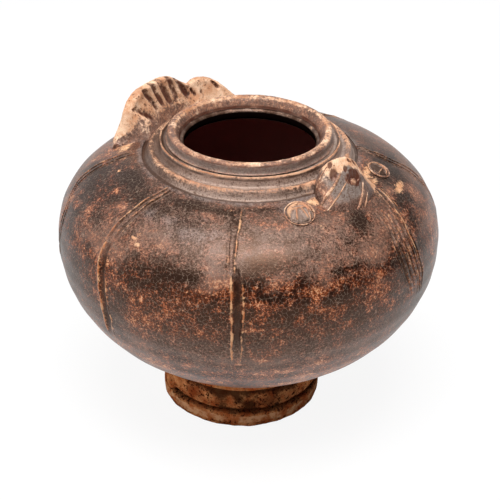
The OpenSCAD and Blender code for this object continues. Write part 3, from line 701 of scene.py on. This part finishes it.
class Collar:
    """The stepped collar and the rolled lip."""

    COLLAR = (
        (39.0, 98.3, 0, 0), (39.0, 100.2, 0, 0.4), (38.5, 100.1, 0, 0.6), (37.9, 100.3, 0, 0.8),
        (37.3, 100.9, 0.1, 0.6), (36.95, 101.9, 0.25, 0.45), (36.6, 102.8, 0.45, 0.25), (36.1, 103.5, 0.58, 0),
        (35.5, 103.6, 0.6, 0), (34.9, 103.3, 0.58, 0), (34.2, 103.05, 0.3, 0.4), (33.4, 103.1, 0.1, 0.8),
        (32.95, 103.6, 0, 0.8), (32.7, 104.9, 0, 0.4), (32.55, 105.8, 0.2, 0.2), (32.4, 106.4, 0.75, 0),
        (32.1, 106.75, 0.8, 0), (31.7, 106.5, 0.5, 0.1), (31.3, 105.9, 0, 0.6), (30.4, 105.6, 0, 0.9),
        (29.4, 105.8, 0, 0.4), (25.4, 106.0, 0, 0), (24.6, 106.1, 0.2, 0), (24.0, 105.7, 0.5, 0),
        (23.7, 105.2, 0.1, 0), (23.6, 104.6, 0, 0), (23.6, 102.9, 0, 0), (25.0, 101.6, 0, 0), (33.0, 96.6, 0, 0),
    )
    LIP = (
        (30.6, 106.0, 0, 0.3), (29.8, 106.5, 0, 0.4), (29.5, 107.3, 0.0, 0.9), (29.65, 108.1, 0.1, 0.8),
        (29.75, 108.9, 0.25, 0.5), (29.4, 109.7, 0.45, 0.1), (28.6, 110.15, 0.52, 0), (27.7, 110.15, 0.52, 0),
        (26.9, 109.8, 0.62, 0), (26.2, 109.0, 0.15, 0), (25.7, 108.2, 0.15, 0), (25.2, 107.3, 0.05, 0),
        (24.9, 106.4, 0.25, 0), (24.75, 105.95, 0, 0),
    )

    def build(self, glaze: bpy.types.Material, clay: bpy.types.Material) -> None:
        """Build the collar and the lip."""
        collar = turned(self.COLLAR, 400, 11, 0.14)
        r = np.hypot(collar.points[..., 0], collar.points[..., 1])
        z = collar.points[..., 2]
        # Painted shade: the throat wall below the ledge gets the near-black inside colour
        throat_painted_shade = smooth(105.3, 105.0, z) * (r < 24.6)
        collar.masks["deep"] = np.maximum(0.5 * throat_painted_shade, smooth(102.0, 101.0, z) * (r < 37))
        # Painted shade: the top of the collar's base step is darkened where the overhead light makes it bright
        under = smooth(100.7, 100.3, z) * (r > 37.3)
        az = np.degrees(np.arctan2(collar.points[..., 0], -collar.points[..., 1]))
        beside = np.exp(-((z - 105.5) / 0.5) ** 2) * smooth(32.3, 32.5, r) + np.exp(-((r - 31.35) / 0.25) ** 2) * (z > 105)
        ledge = smooth(25.6, 25.0, r) * smooth(104.8, 105.4, z)
        chipped = np.clip(0.5 + 0.9 * ripple(az, 27, 9, 44), 0, 1.5)
        filled = smooth(-90, -80, az) * smooth(-58, -66, az) * smooth(34.5, 35.5, r)
        worn = collar.masks["bare"] * (1 + 0.25 * ripple(az, 17, 2, 14))
        beside_head = np.exp(-((az - 35) / 7) ** 2) * smooth(35.5, 37.0, r)
        left = smooth(-30, -56, az) * smooth(-150, -120, az)
        collar.masks["bare"] = np.maximum(worn * (1 - 0.25 * left), 0.5 * np.maximum(0.45 * filled, 0.85 * beside_head))
        collar.masks["bare"] = collar.masks["bare"] * (1 - ledge + ledge * chipped)
        # dark sums the painted shade on the base step, the dark lines beside ridge 1 and the ledge where it is not
        # chipped
        dark = 0.62 * under + 0.55 * beside * (1 + 0.4 * ripple(az, 13, 9, 30)) + 0.85 * ledge * (1 - chipped)
        collar.masks["cut"] = np.clip(dark + 0.55 * left * collar.masks["pool"], 0, 1)
        collar.masks["pool"] = collar.masks["pool"] * (1 - 0.5 * left)
        collar.masks["thick"] = 0.35 * left + 0.3 * ledge
        make_piece("neck_collar", collar, glaze, rough=((0.12, 2.2),))
        lip = turned(self.LIP, 400, 21, 0.12)
        r = np.hypot(lip.points[..., 0], lip.points[..., 1])
        z = lip.points[..., 2]
        az = np.degrees(np.arctan2(lip.points[..., 0], -lip.points[..., 1]))
        slope = smooth(27.4, 26.8, r)
        uneven = 1 + 0.12 * ripple(az, 19, 2, 14) - 0.35 * np.exp(-((az + 70) / 40) ** 2)
        lip.masks["bare"] = lip.masks["bare"] * uneven + 0.2 * slope * np.cos(np.radians(az + 120))
        # Painted shade: a dark line just under the lip's crest, on its outer face
        undercut_painted_shade = 0.55 * np.exp(-((z - 109.1) / 0.3) ** 2) * (r > 29) * (1 + 0.6 * ripple(az, 23, 9, 30))
        lip.masks["cut"] = undercut_painted_shade + 0.7 * smooth(107.6, 107.0, z) * slope * (0.8 + 0.4 * ripple(az, 25, 9, 40))
        lip.masks["thick"] = 0.15 * slope - 0.35
        make_piece("mouth_rim", lip, clay, rough=((0.16, 2.4), (0.11, 0.9)))


class Foot:
    """The solid foot, its rolled bead, the bead's free end and the luting fillet."""

    SHIFT = (-2.0, -0.9)
    PEDESTAL = ((0.0, 0.0), (26.9, 0.0), (26.9, 7.0), (28.8, 7.2), (29.5, 8.2), (29.75, 9.6), (29.85, 14.0),
                (29.7, 18.0), (29.7, 23.0), (0.0, 23.0))
    COIL = ((26.9, 0.0, 0, 0), (29.0, 0.0, 0, 0), (30.0, 0.5, 1, 0), (30.4, 2.0, 1, 0), (30.4, 5.0, 1, 0),
            (30.0, 6.6, 1, 0), (28.8, 7.0, 1, 0), (26.9, 7.0, 0, 0))
    LUTING = ((29.6, 16.4, 0, 0), (29.85, 17.2, 1, 0), (30.4, 18.8, 1, 0), (31.5, 20.6, 1, 0),
              (33.6, 22.3, 1, 0), (33.7, 22.9, 0, 0), (29.6, 22.9, 0, 0))

    def build(self, clay: bpy.types.Material) -> None:
        """Build the foot's four pieces."""
        az = np.linspace(-180, 180, round(480 / COARSE), endpoint=False)[None, :]
        outline = resample(np.array(self.PEDESTAL), 0.45 * COARSE)
        sway = 0.12 * ripple(az, 31) * smooth(20, 28, outline[:, :1])
        points = polar(az, outline[:, :1] + sway, outline[:, 1:])
        points[..., :2] += np.array(self.SHIFT)
        # Painted shade in the groove above the bead
        groove_painted_shade = smooth(9.2, 7.4, outline[:, 1:]) * smooth(28.0, 28.6, outline[:, :1])
        shade = 0.6 * smooth(13.0, 17.0, outline[:, 1:] + 1.2 * ripple(az, 37, 3, 20))
        wander = 1.5 * np.sin(0.9 * outline[:, 1:])
        drip = 0.9 * np.exp(-((az + 3 + wander) / 2.6) ** 2) * smooth(9, 14, outline[:, 1:])
        blot = 0.5 * np.exp(-((az - 6) / 4) ** 2 - ((outline[:, 1:] - 10.5) / 1.5) ** 2)
        dim = 0.5 * smooth(-34, -12, az) * smooth(70, 30, az) * (0.8 + 0.3 * ripple(az, 41, 5, 24))
        # The pedestal's darkening: painted shade in the groove and painted shadow under the globe's overhang (shade),
        # with a darker stretch over the front, a drip and a blot
        stain_and_painted_shade = np.clip(dim + groove_painted_shade * (0.2 + 0.45 * ripple(az, 39, 5, 24)) + shade + 0.6 * drip + blot, 0, 1)
        make_piece("foot_pedestal", Sheet(points, {"cut": stain_and_painted_shade}), clay, rough=((0.3, 4.0), (0.14, 1.1)))
        bead = turned(self.COIL, 400, 33, 0.22, self.SHIFT)
        height = bead.points[..., 2]
        turn = np.degrees(np.arctan2(bead.points[..., 0], -bead.points[..., 1]))
        # Painted shade on the bead's top, where it meets the groove
        bead.masks["cut"] = 0.45 * smooth(5.0, 6.6, height + 0.4 * ripple(turn, 43, 5, 24))
        bead.masks["edge"] = 0.95 * smooth(1.4, 3.0, height) * smooth(5.8, 4.8, height)
        make_piece("foot_coil", bead, clay, rough=((0.4, 3.4), (0.14, 1.0)))
        luting = turned(self.LUTING, 400, 35, 0.2, self.SHIFT)
        # An even stain, with painted shadow that deepens towards the top under the globe's bowl
        luting.masks["cut"] = 0.3 + 0.3 * smooth(18.0, 21.0, luting.points[..., 2])
        make_piece("foot_luting", luting, clay, rough=((0.3, 3.5), (0.12, 1.1)))
        path = polar(np.array([-74.5, -69.0, -63.0, -58.0]), np.array([28.0, 28.3, 28.5, 28.4]),
                     np.array([14.6, 12.0, 9.2, 7.4]))
        path[:, :2] += np.array(self.SHIFT)
        make_piece("foot_coil_end", rod(path, np.array([2.4, 3.0, 3.1, 2.7])), clay,
                   rough=((0.3, 2.5), (0.12, 1.0)))


def rod(path: np.ndarray, radii: np.ndarray, flat: float = 1.0, **masks: float) -> Sheet:
    """Return a bent round-ended rod of clay.

    Args:
        path: Points along its middle.
        radii: Its radius at each of them.
        flat: Its thickness off the jar as a share of its width.
        **masks: Its masks by name.

    Returns:
        The rod's skin.
    """
    t = (1 - np.cos(np.linspace(0, math.pi, 30))) / 2
    places = np.linspace(0, 1, len(path))
    line = np.stack([np.interp(t, places, column) for column in path.T], axis=1)
    for _ in range(3):
        line[1:-1] = (line[:-2] + 2 * line[1:-1] + line[2:]) / 4
    along = np.gradient(line, axis=0)
    along /= np.linalg.norm(along, axis=1, keepdims=True)
    out = line * np.array([1.0, 1.0, 0.0]) / np.linalg.norm(line[:, :2], axis=1, keepdims=True)
    side = np.cross(along, out + np.array([0.0, 0.0, 0.7]))
    side /= np.linalg.norm(side, axis=1, keepdims=True)
    lift = np.cross(side, along)
    size = np.interp(t, places, radii) * np.sqrt(np.clip(1 - np.abs(2 * t - 1) ** 9, 0.02, 1))
    turn = np.linspace(0, math.tau, 24, endpoint=False)
    ring = np.cos(turn)[None, :, None] * side[:, None] + flat * np.sin(turn)[None, :, None] * lift[:, None]
    return Sheet(line[:, None] + size[:, None, None] * ring, {name: np.array(value) for name, value in masks.items()}).capped()


@dataclass(frozen=True)
class Station:
    """One cut through a standing crest of clay, in the plane of the jar's axis."""

    az: float
    crest_r: float
    crest_z: float
    foot_in: float
    foot_out: float
    half: float


def crest(stations: Sequence[Station], count: int) -> tuple[np.ndarray, np.ndarray, np.ndarray]:
    """Loft a crest through its stations.

    Args:
        stations: The cuts, in the order of their azimuths.
        count: Sections to make.

    Returns:
        The sections' azimuths, their outlines as radii and heights, and their crests.
    """
    table = np.array([(s.az, s.crest_r, s.crest_z, s.foot_in, s.foot_out, s.half) for s in stations])
    places = np.linspace(0, len(stations) - 1, count)
    values = np.stack([np.interp(places, np.arange(len(stations)), column) for column in table.T], axis=1)
    for _ in range(2):
        values[1:-1] = (values[:-2] + 2 * values[1:-1] + values[2:]) / 4
    outlines = []
    for _, rc, top, inner, outer, half in values:
        base = OUTSIDE.top_z(rc)
        h = top - base
        back = outer - rc
        outline = [(inner, base - 2.5), (inner, base + 0.1 * h), (inner + 0.35 * (rc - half - inner), base + 0.4 * h),
                   (rc - half - 0.3, base + 0.8 * h), (rc - half, top - 0.9), (rc - 0.6 * half, top),
                   (rc + 0.6 * half, top), (rc + half, top - 0.9), (rc + half + 0.12 * back, base + 0.68 * h),
                   (rc + half + 0.3 * back, base + 0.38 * h), (rc + 0.78 * back, base + 0.14 * h),
                   (outer, OUTSIDE.top_z(outer) - 0.2), (outer - 0.5, OUTSIDE.top_z(outer) - 2.5),
                   (0.5 * (inner + outer), base - 3.0)]
        outlines.append(rounded(np.array(outline), 2, closed=True))
    return values[:, 0], np.array(outlines), values[:, 1:3]


class Tail:
    """The two fluted lobes of the tail."""

    LEFT = (
        Station(-146.5, 41.2, 106.5, 35.6, 48, 1.2), Station(-145, 41.2, 112.0, 35.4, 49, 1.6),
        Station(-142, 41.2, 113.2, 35.4, 50, 2.0), Station(-138, 41.3, 115.2, 35.4, 50.5, 2.1),
        Station(-134, 41.5, 117.0, 35.4, 51, 2.2), Station(-129, 42.0, 117.8, 35.4, 51.5, 2.2),
        Station(-122, 43.0, 117.4, 35.4, 52, 2.2), Station(-115, 44.0, 116.8, 35.4, 52.5, 2.2),
        Station(-110, 44.7, 116.0, 35.5, 52.8, 2.2), Station(-106.5, 45.6, 114.0, 35.7, 53, 2.1),
        Station(-104, 46.2, 110.5, 36.0, 53, 2.1), Station(-102.8, 46.4, 106.5, 36.6, 53, 2.0),
        Station(-101.8, 46.4, 102.5, 37.5, 52.5, 1.8), Station(-100.9, 46.4, 100.3, 38.5, 52.2, 1.7),
        Station(-99.6, 46.4, 99.0, 39.5, 51.5, 1.6),
    )
    RIGHT = (
        Station(-142.5, 41.2, 106.5, 35.6, 48, 1.2), Station(-144.6, 41.2, 112.3, 35.4, 49, 1.6),
        Station(-147.5, 41.2, 113.2, 35.4, 50, 2.0), Station(-151, 41.2, 113.6, 35.4, 50.5, 2.2),
        Station(-155, 41.2, 113.3, 35.4, 50.5, 2.2), Station(-158.5, 41.2, 112.3, 35.4, 50, 2.2),
        Station(-163, 41.2, 110.3, 35.5, 49.5, 2.1), Station(-168, 41.2, 107.0, 35.7, 48.5, 2.0),
        Station(-172, 41.2, 104.2, 36.0, 47.5, 1.8), Station(-175.6, 41.2, 101.0, 37.0, 46, 1.4),
    )
    # Each gouge: azimuth at its top and its low end, heights of both, and half its width
    LEFT_FLUTES = (
        (-106.3, -111.5, 110.8, 106.8, 1.0), (-114.4, -119.0, 116.2, 108.2, 0.95), (-120.2, -123.6, 117.4, 108.6, 0.8),
        (-125.6, -129.0, 117.8, 108.2, 1.15), (-131.4, -134.2, 117.6, 108.7, 0.95), (-136.4, -142.6, 116.9, 108.2, 1.25),
    )
    RIGHT_FLUTES = ((-145.4, -148.0, 110.0, 107.6, 0.55), (-151.0, -152.0, 108.8, 107.6, 0.4),
                    (-158.6, -161.5, 111.6, 109.2, 0.5))

    def lobe(self, node: str, stations: Sequence[Station], flutes: Sequence[tuple[float, ...]],
             clay: bpy.types.Material) -> None:
        """Build one lobe with its flutes."""
        az, outlines, crests = crest(stations, round(160 / COARSE))
        r, z = outlines[..., 0].copy(), outlines[..., 1].copy()
        rc = crests[:, :1]
        inside = smooth(1.2, -0.6, r - rc)
        cut = np.zeros_like(r)
        for az_top, az_low, z_top, z_low, half in flutes:
            share = np.clip((z_top - z) / (z_top - z_low), 0, 1)
            away = np.radians(az[:, None] - az_top - (az_low - az_top) * share) * r
            ends = smooth(z_low - 1.2, z_low + 0.8, z) * smooth(z_top + 1.0, z_top - 0.4, z)
            cut = np.maximum(cut, np.exp(-(away / (1.15 * half)) ** 2) * inside * ends)
        r += 1.2 * cut
        z -= 0.5 * cut
        turn = az[:, None]
        line = np.interp(-turn, (103, 110, 138, 146), (104.0, 107.5, 107.5, 101.5))
        end_line = np.interp(r, (39, 41.6, 44, 48, 52), (110.5, 109.0, 104.5, 101.0, 97.0))
        uneven = 1.2 * lumps(polar(turn, r, z), 2.5, 75)
        low = np.maximum(inside * smooth(1.6, -1.6, z - line + uneven),
                         smooth(-109, -105, turn) * smooth(1.3, -1.3, z - end_line + uneven))
        outer = smooth(0.5, 3.0, r - rc)
        face = inside * smooth(-104, -112, turn) * smooth(116.5, 112.0, z) * smooth(-150, -144, turn)
        rooted = smooth(3.2, 0.4, z - OUTSIDE.top_z(r) + 0.7 * ripple(turn * 9, 71))
        bare = (0.98 - 0.6 * low - 0.25 * outer - 0.3 * face * (1 - low)) * (1 - 0.75 * rooted)
        places = polar(turn, r, z)
        mottled = 0.72 + 0.8 * lumps(places, 1.0, 73) + 0.4 * lumps(places, 2.6, 77)
        masks = {"bare": bare * (1 - 0.4 * cut), "cut": np.clip(smooth(0.08, 0.9, cut) * mottled, 0, 1),
                 "pool": 0.3 * low, "thick": -0.3 * low,
                 "edge": 0.8 * np.exp(-((cut - 0.25) / 0.12) ** 2) * inside * (cut > 0.1)}
        make_piece(node, Sheet(polar(az[:, None], r, z), masks).capped(), clay,
                   rough=((0.4, 3.4), (0.22, 0.9)))

    def build(self, clay: bpy.types.Material) -> None:
        """Build both lobes."""
        self.lobe("tail_left_lobe", self.LEFT, self.LEFT_FLUTES, clay)
        self.lobe("tail_right_lobe", self.RIGHT, self.RIGHT_FLUTES, clay)


class Head:
    """The head: a crest with a sloping face, dimples, a pit and thin ribs that fan down it."""

    # Azimuth, and there the crest's radius and height, and the radius at which the face runs out
    CREST = (
        (32.0, 41.5, 98.4, 46.0), (34.0, 40.8, 100.6, 47.2), (36.0, 39.6, 103.6, 48.4), (38.5, 38.4, 107.0, 49.2),
        (41.0, 38.2, 109.6, 49.8), (43.5, 38.8, 111.3, 50.4), (47.5, 40.0, 112.2, 51.0), (51.0, 41.6, 112.5, 51.2),
        (55.0, 42.4, 111.0, 50.8), (58.0, 42.8, 108.6, 50.4), (61.0, 43.2, 105.2, 50.0), (64.0, 43.6, 102.0, 49.6),
        (67.0, 43.9, 99.4, 49.0), (70.0, 44.2, 97.2, 48.0), (72.0, 44.4, 95.5, 47.0),
    )
    # Azimuth, radius, half width and depth of each dimple; the first is the pit, which has a raised middle
    PIT = (50.6, 46.4, 2.7, 1.9)
    DIMPLES = ((43.3, 39.8, 0.75, 0.7), (48.5, 43.6, 0.6, 0.6), (55.0, 43.6, 0.65, 0.6), (42.8, 42.2, 1.25, 0.9),
               (52.0, 43.0, 0.5, 0.4))
    # Each rib: azimuth and radius along it, its half width, and how bare it is
    RIBS = (
        (((42.6, 39.6), (40.0, 39.2), (37.5, 39.2), (35.2, 39.6)), 0.5, 0.4),
        (((46.0, 43.4), (42.0, 44.0), (38.5, 44.1), (35.6, 44.2), (33.0, 44.6)), 0.85, 0.5),
        (((47.6, 45.6), (43.0, 46.2), (39.2, 46.6), (36.3, 46.9), (33.8, 47.4)), 0.5, 0.58),
        (((55.2, 47.6), (51.8, 49.6), (48.8, 50.5), (46.2, 51.2)), 0.7, 0.42),
        (((55.5, 49.4), (53.0, 50.6), (50.2, 51.7)), 0.5, 0.42),
    )

    def height(self, az: Any, r: Any) -> np.ndarray:
        """Return the head's height at an azimuth and a radius, without its dimples."""
        turns, *columns = np.array(self.CREST).T
        crest_r, top, out = (np.interp(az, turns, column) for column in columns)
        share = np.clip((r - crest_r) / (out - crest_r), 0, 1)
        lift = np.maximum(top + 0.8 - OUTSIDE.top_z(crest_r), 0)
        face = OUTSIDE.top_z(r) + lift * (1 - share) ** 0.8 - 0.7 * share ** 2
        back = top + 0.8 - 1.9 * (crest_r - r)
        soft = 0.7
        return -soft * np.log(np.exp(-(face - top) / soft) + np.exp(-(back - top) / soft)
                              + math.exp(-0.3 / soft)) + top

    def build(self, clay: bpy.types.Material) -> None:
        """Build the head and its ribs."""
        az = np.arange(32.0, 72.0, 0.28 * COARSE)[:, None]
        r = np.arange(35.4, 53.0, 0.25 * COARSE)[None, :]
        z = self.height(az, r)
        top = np.interp(az, *np.array(self.CREST).T[[0, 2]])
        aside = np.radians(az - self.PIT[0]) * r
        away = np.hypot(np.hypot(aside, r - self.PIT[1]), z - self.height(self.PIT[0], self.PIT[1]))
        hollow = smooth(self.PIT[2], 1.6, away + 0.3 * ripple(az * 30, 55))
        z = z - self.PIT[3] * hollow + 1.3 * smooth(1.7, 0.5, away)
        band = 1.8 + 2.5 * smooth(54, 60, az)
        crown = smooth(band + 2.4, band, top - z + 0.8 * ripple(az * 9, 51) + 0.5 * ripple(r * 40, 53))
        crown = crown * smooth(38, 43, az)
        stained = smooth(3.6, 2.4, away + 0.5 * ripple(az * 30, 55))
        core = smooth(1.8, 1.0, away)
        cut = 0.8 * stained * (1 - core)
        for turn, out, half, depth in self.DIMPLES:
            dip = np.exp(-((np.radians(az - turn) * r) ** 2 + (r - out) ** 2) / half ** 2)
            z = z - depth * dip
            cut = np.maximum(cut, 1.3 * dip)
        z = np.logaddexp(z / 0.4, (OUTSIDE.top_z(r) - 0.5) / 0.4) * 0.4
        under = OUTSIDE.top_z(r[:, ::-6]) - 3.0
        rim_r = np.concatenate([r, r[:, ::-6]], axis=1)
        rim_z = np.concatenate([z, np.broadcast_to(under, (len(az), under.shape[1]))], axis=1)
        pad = ((0, 0), (0, under.shape[1]))
        panes = 0.7 * (1 - crown) * smooth(98.0, 101.0, z) * smooth(56, 50, az) * smooth(36.5, 40, az)
        side = 1.3 * smooth(42, 37, az) * smooth(0.4, 3.0, z - OUTSIDE.top_z(r)) + smooth(57, 62, az)
        masks = {"bare": (0.95 * crown + 0.1 + 0.15 * side) * (1 - stained), "pool": panes * (1 - stained),
                 "thick": -0.25 * side - 0.5 * core + 0.25 * smooth(2.2, 0.4, z - OUTSIDE.top_z(r)), "cut": np.clip(cut, 0, 1)}
        masks = {name: np.pad(np.broadcast_to(values, z.shape), pad) for name, values in masks.items()}
        make_piece("head_lug", Sheet(polar(az, rim_r, rim_z), masks).capped(), clay,
                   rough=((0.35, 2.6), (0.12, 0.9)))
        for number, (path, half, worn) in enumerate(self.RIBS, start=1):
            turns, outs = rounded(np.array(path), 2).T
            floor_z = np.maximum(self.height(turns, outs), OUTSIDE.top_z(outs))
            taper = np.sin(np.linspace(0.35, 2.7, len(turns))) ** 0.5
            radii = half * taper * (1 + 0.12 * ripple(np.arange(len(turns)) * 23.0, number))
            make_piece(f"head_strip_{number}", rod(polar(turns, outs, floor_z - 0.1), radii, 0.8, bare=worn, thick=-0.5), clay,
                       rough=((0.3, 1.4), (0.14, 0.7)))


@dataclass(frozen=True)
class Eye:
    """One ribbed boss and the thin roll round it.

    Attributes:
        side: Which eye it is.
        az: Azimuth of its middle.
        radius: Radius of the boss.
        ribs: Each rib's half width in mm and its points, as shares of the radius down the slope and to the right.
        roll: Thickest and thinnest half of the roll; it is thinnest at the lower left.
        shade: How dark the hollows between the ribs are.
        mid_r: Radius of its middle.
    """

    side: str
    az: float
    radius: float
    ribs: tuple[tuple[float, tuple[tuple[float, float], ...]], ...]
    roll: tuple[float, float]
    shade: float
    mid_r: float

    def place(self, points: np.ndarray) -> np.ndarray:
        """Stand points on the shoulder with their +Z square to it and their +X down the slope."""
        slope = math.atan((OUTSIDE.top_z(self.mid_r - 0.1) - OUTSIDE.top_z(self.mid_r + 0.1)) / 0.2)
        x, y, z = np.moveaxis(points, -1, 0)
        out = self.mid_r + x * math.cos(slope) + z * math.sin(slope)
        up = OUTSIDE.top_z(self.mid_r) - x * math.sin(slope) + z * math.cos(slope)
        turn = math.radians(self.az)
        return np.stack([out * math.sin(turn) + y * math.cos(turn),
                         -out * math.cos(turn) + y * math.sin(turn), up], axis=-1)

    def build(self, glaze: bpy.types.Material, clay: bpy.types.Material) -> None:
        """Build the boss and its roll."""
        rim = self.radius
        outline = resample(np.array([(0.02, 1.9), (0.55 * rim, 1.8), (0.86 * rim, 1.45), (0.98 * rim, 0.9),
                                     (rim, 0.2), (rim, -2.5), (0.02, -2.5)]), 0.16 * COARSE)
        theta = np.linspace(0, math.tau, 110, endpoint=False)[None, :]
        x, y = outline[:, :1] * np.cos(theta), outline[:, :1] * np.sin(theta)
        on_top = smooth(0.2, 1.0, outline[:, 1:])
        ribs = np.zeros_like(x)
        for half, path in self.ribs:
            ribs = np.maximum(ribs, np.exp(-(near(x / rim, y / rim, path) * rim / half) ** 2))
        z = outline[:, 1:] - (0.8 * (1 - ribs) + 0.25 * x / rim) * on_top
        masks = {"bare": 0.95 * ribs * on_top, "pool": 0.9 * (1 - ribs) * on_top,
                 "cut": self.shade * (1 - ribs) * on_top, "edge": 0.5 * ribs * on_top}
        points = self.place(np.stack(np.broadcast_arrays(x, y, z), axis=-1))
        make_piece(f"{self.side}_eye_boss", Sheet(points, masks), glaze, rough=((0.25, 1.5), (0.1, 0.7)))
        turn = np.linspace(0, math.tau, 120, endpoint=False)
        around = np.linspace(0, math.tau, 18, endpoint=False)[None, :]
        bold = 0.5 - 0.5 * np.cos(turn + 0.7)
        thick = (self.roll[1] + (self.roll[0] - self.roll[1]) * bold + 0.06 * ripple(np.degrees(turn), 61))[:, None]
        reach = rim + self.roll[0] + thick * np.cos(around)
        roll = np.stack(np.broadcast_arrays(reach * np.cos(turn)[:, None], reach * np.sin(turn)[:, None],
                                            0.35 * bold[:, None] - 0.1 + thick * np.sin(around)), axis=-1)
        masks = {"bare": 0.35 + 0.15 * bold[:, None], "thick": np.array(-0.6)}
        make_piece(f"{self.side}_eye_ring", Sheet(self.place(roll), masks, wrap_rows=True),
                   clay, rough=((0.2, 1.5), (0.1, 0.7)))


EYES = (
    Eye("left", 21.8, 4.6, (
        (1.1, ((-0.15, -0.85), (-0.62, -0.55), (-0.78, 0.0), (-0.6, 0.55), (-0.1, 0.85))),
        (0.55, ((-0.3, -0.8), (-0.33, 0.62))), (0.5, ((-0.25, -0.78), (0.35, -0.95))),
        (0.55, ((-0.25, -0.2), (0.65, -0.48))), (0.55, ((-0.2, 0.2), (0.6, 0.4))),
        (0.5, ((-0.2, 0.62), (0.8, 0.62)))), (0.5, 0.3), 0.4, 46.0),
    Eye("right", 79.0, 3.6, (
        (0.4, ((0.31, 0.29), (0.06, -0.98))), (0.42, ((0.31, 0.29), (-0.98, 0.42))),
        (0.4, ((0.31, 0.29), (0.98, -0.5)))), (0.45, 0.42), 0.9, 46.9),
)


@dataclass(frozen=True)
class Lamp:
    """A soft area light that looks at the jar."""

    name: str
    place: tuple[float, float, float]
    size: tuple[float, float]
    watts: float
    mirrored: bool = True


@dataclass(frozen=True)
class Studio:
    """Camera, lamps, floor and sky; lengths are in metres."""

    eye: tuple[float, float, float] = (0.00065, -0.4756, 0.3357)
    target: tuple[float, float, float] = (0.00065, 0.0, 0.05945)
    lens: float = 105.83
    roll: float = 0.885
    lamps: tuple[Lamp, ...] = (
        Lamp("overhead_softbox", (0.0, -0.27, 1.08), (0.7, 0.6), 15.0),
        Lamp("front_fill", (-0.8, -0.7, 0.5), (1.5, 1.5), 3.3, mirrored=False),
    )
    sky: tuple[float, float] = (0.08, 0.7)

    def build(self) -> None:
        """Build the set."""
        scene = bpy.context.scene
        camera = bpy.data.objects.new("camera", bpy.data.cameras.new("camera"))
        camera.data.lens = self.lens
        camera.data.sensor_width = 36.0
        camera.data.clip_start = 0.01
        camera.location = self.eye
        aim = (Vector(self.target) - Vector(self.eye)).to_track_quat("-Z", "Y")
        camera.rotation_mode = "QUATERNION"
        camera.rotation_quaternion = aim @ Quaternion((0, 0, 1), math.radians(self.roll))
        scene.collection.objects.link(camera)
        scene.camera = camera
        for lamp in self.lamps:
            data = bpy.data.lights.new(lamp.name, "AREA")
            data.shape, data.energy = "RECTANGLE", lamp.watts
            data.size, data.size_y = lamp.size
            light = bpy.data.objects.new(lamp.name, data)
            light.location = lamp.place
            light.visible_glossy = lamp.mirrored
            light.rotation_euler = (Vector((0, 0, 0.06)) - Vector(lamp.place)).to_track_quat("-Z", "Y").to_euler()
            scene.collection.objects.link(light)
        world = bpy.data.worlds.new("studio")
        world.use_nodes = True
        tree = world.node_tree
        side = tree.nodes.new("ShaderNodeVectorMath")
        side.operation = "DOT_PRODUCT"
        side.inputs[1].default_value = (-0.8, 0.6, 0.0)
        tree.links.new(tree.nodes.new("ShaderNodeTexCoord").outputs["Generated"], side.inputs[0])
        spread = tree.nodes.new("ShaderNodeMapRange")
        for name, value in zip(("From Min", "From Max", "To Min", "To Max"), (-0.65, 0.7, *self.sky)):
            spread.inputs[name].default_value = value
        tree.links.new(side.outputs["Value"], spread.inputs["Value"])
        tree.links.new(spread.outputs[0], tree.nodes["Background"].inputs["Strength"])
        tree.nodes["Background"].inputs["Color"].default_value = linear("#ffffff")
        scene.world = world
        scene.view_settings.view_transform = "Standard"
        paper = Graph("white_seamless_paper")
        matt = paper.add("BsdfPrincipled", {"Base Color": linear("#fafafa"), "Roughness": 0.9})
        white = paper.add("Emission", {"Color": linear("#ffffff"), "Strength": 1.0})
        seen = paper.add("LightPath", out="Is Camera Ray")
        for ray in ("Is Glossy Ray", "Is Transmission Ray"):
            seen = paper.add("Math", {0: seen, 1: paper.add("LightPath", out=ray)}, operation="MAXIMUM")
        surface = paper.add("MixShader", {0: paper.times(seen, 0.9), 1: matt, 2: white})
        paper.add("OutputMaterial", {"Surface": surface})
        mesh = bpy.data.meshes.new("floor")
        half = 2.5
        mesh.from_pydata([(-half, -half, 0), (half, -half, 0), (half, half, 0), (-half, half, 0)], [], [(0, 1, 2, 3)])
        mesh.materials.append(paper.material)
        floor = bpy.data.objects.new("floor", mesh)
        scene.collection.objects.link(floor)
        floor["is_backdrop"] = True


def main() -> None:
    """Build the jar piece by piece, and then the studio round it."""
    logging.basicConfig(level=logging.INFO)
    body, collar, buff, foot = (stoneware(finish) for finish in (BODY_GLAZE, COLLAR_GLAZE, BUFF_CLAY, FOOT_CLAY))
    Globe().build(body)
    Collar().build(collar, buff)
    Foot().build(foot)
    Tail().build(buff)
    Head().build(buff)
    for eye in EYES:
        eye.build(collar, buff)
    Studio().build()


if __name__ == "__main__":
    main()
    plain(CAD_BOUNDS)
    plain(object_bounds())
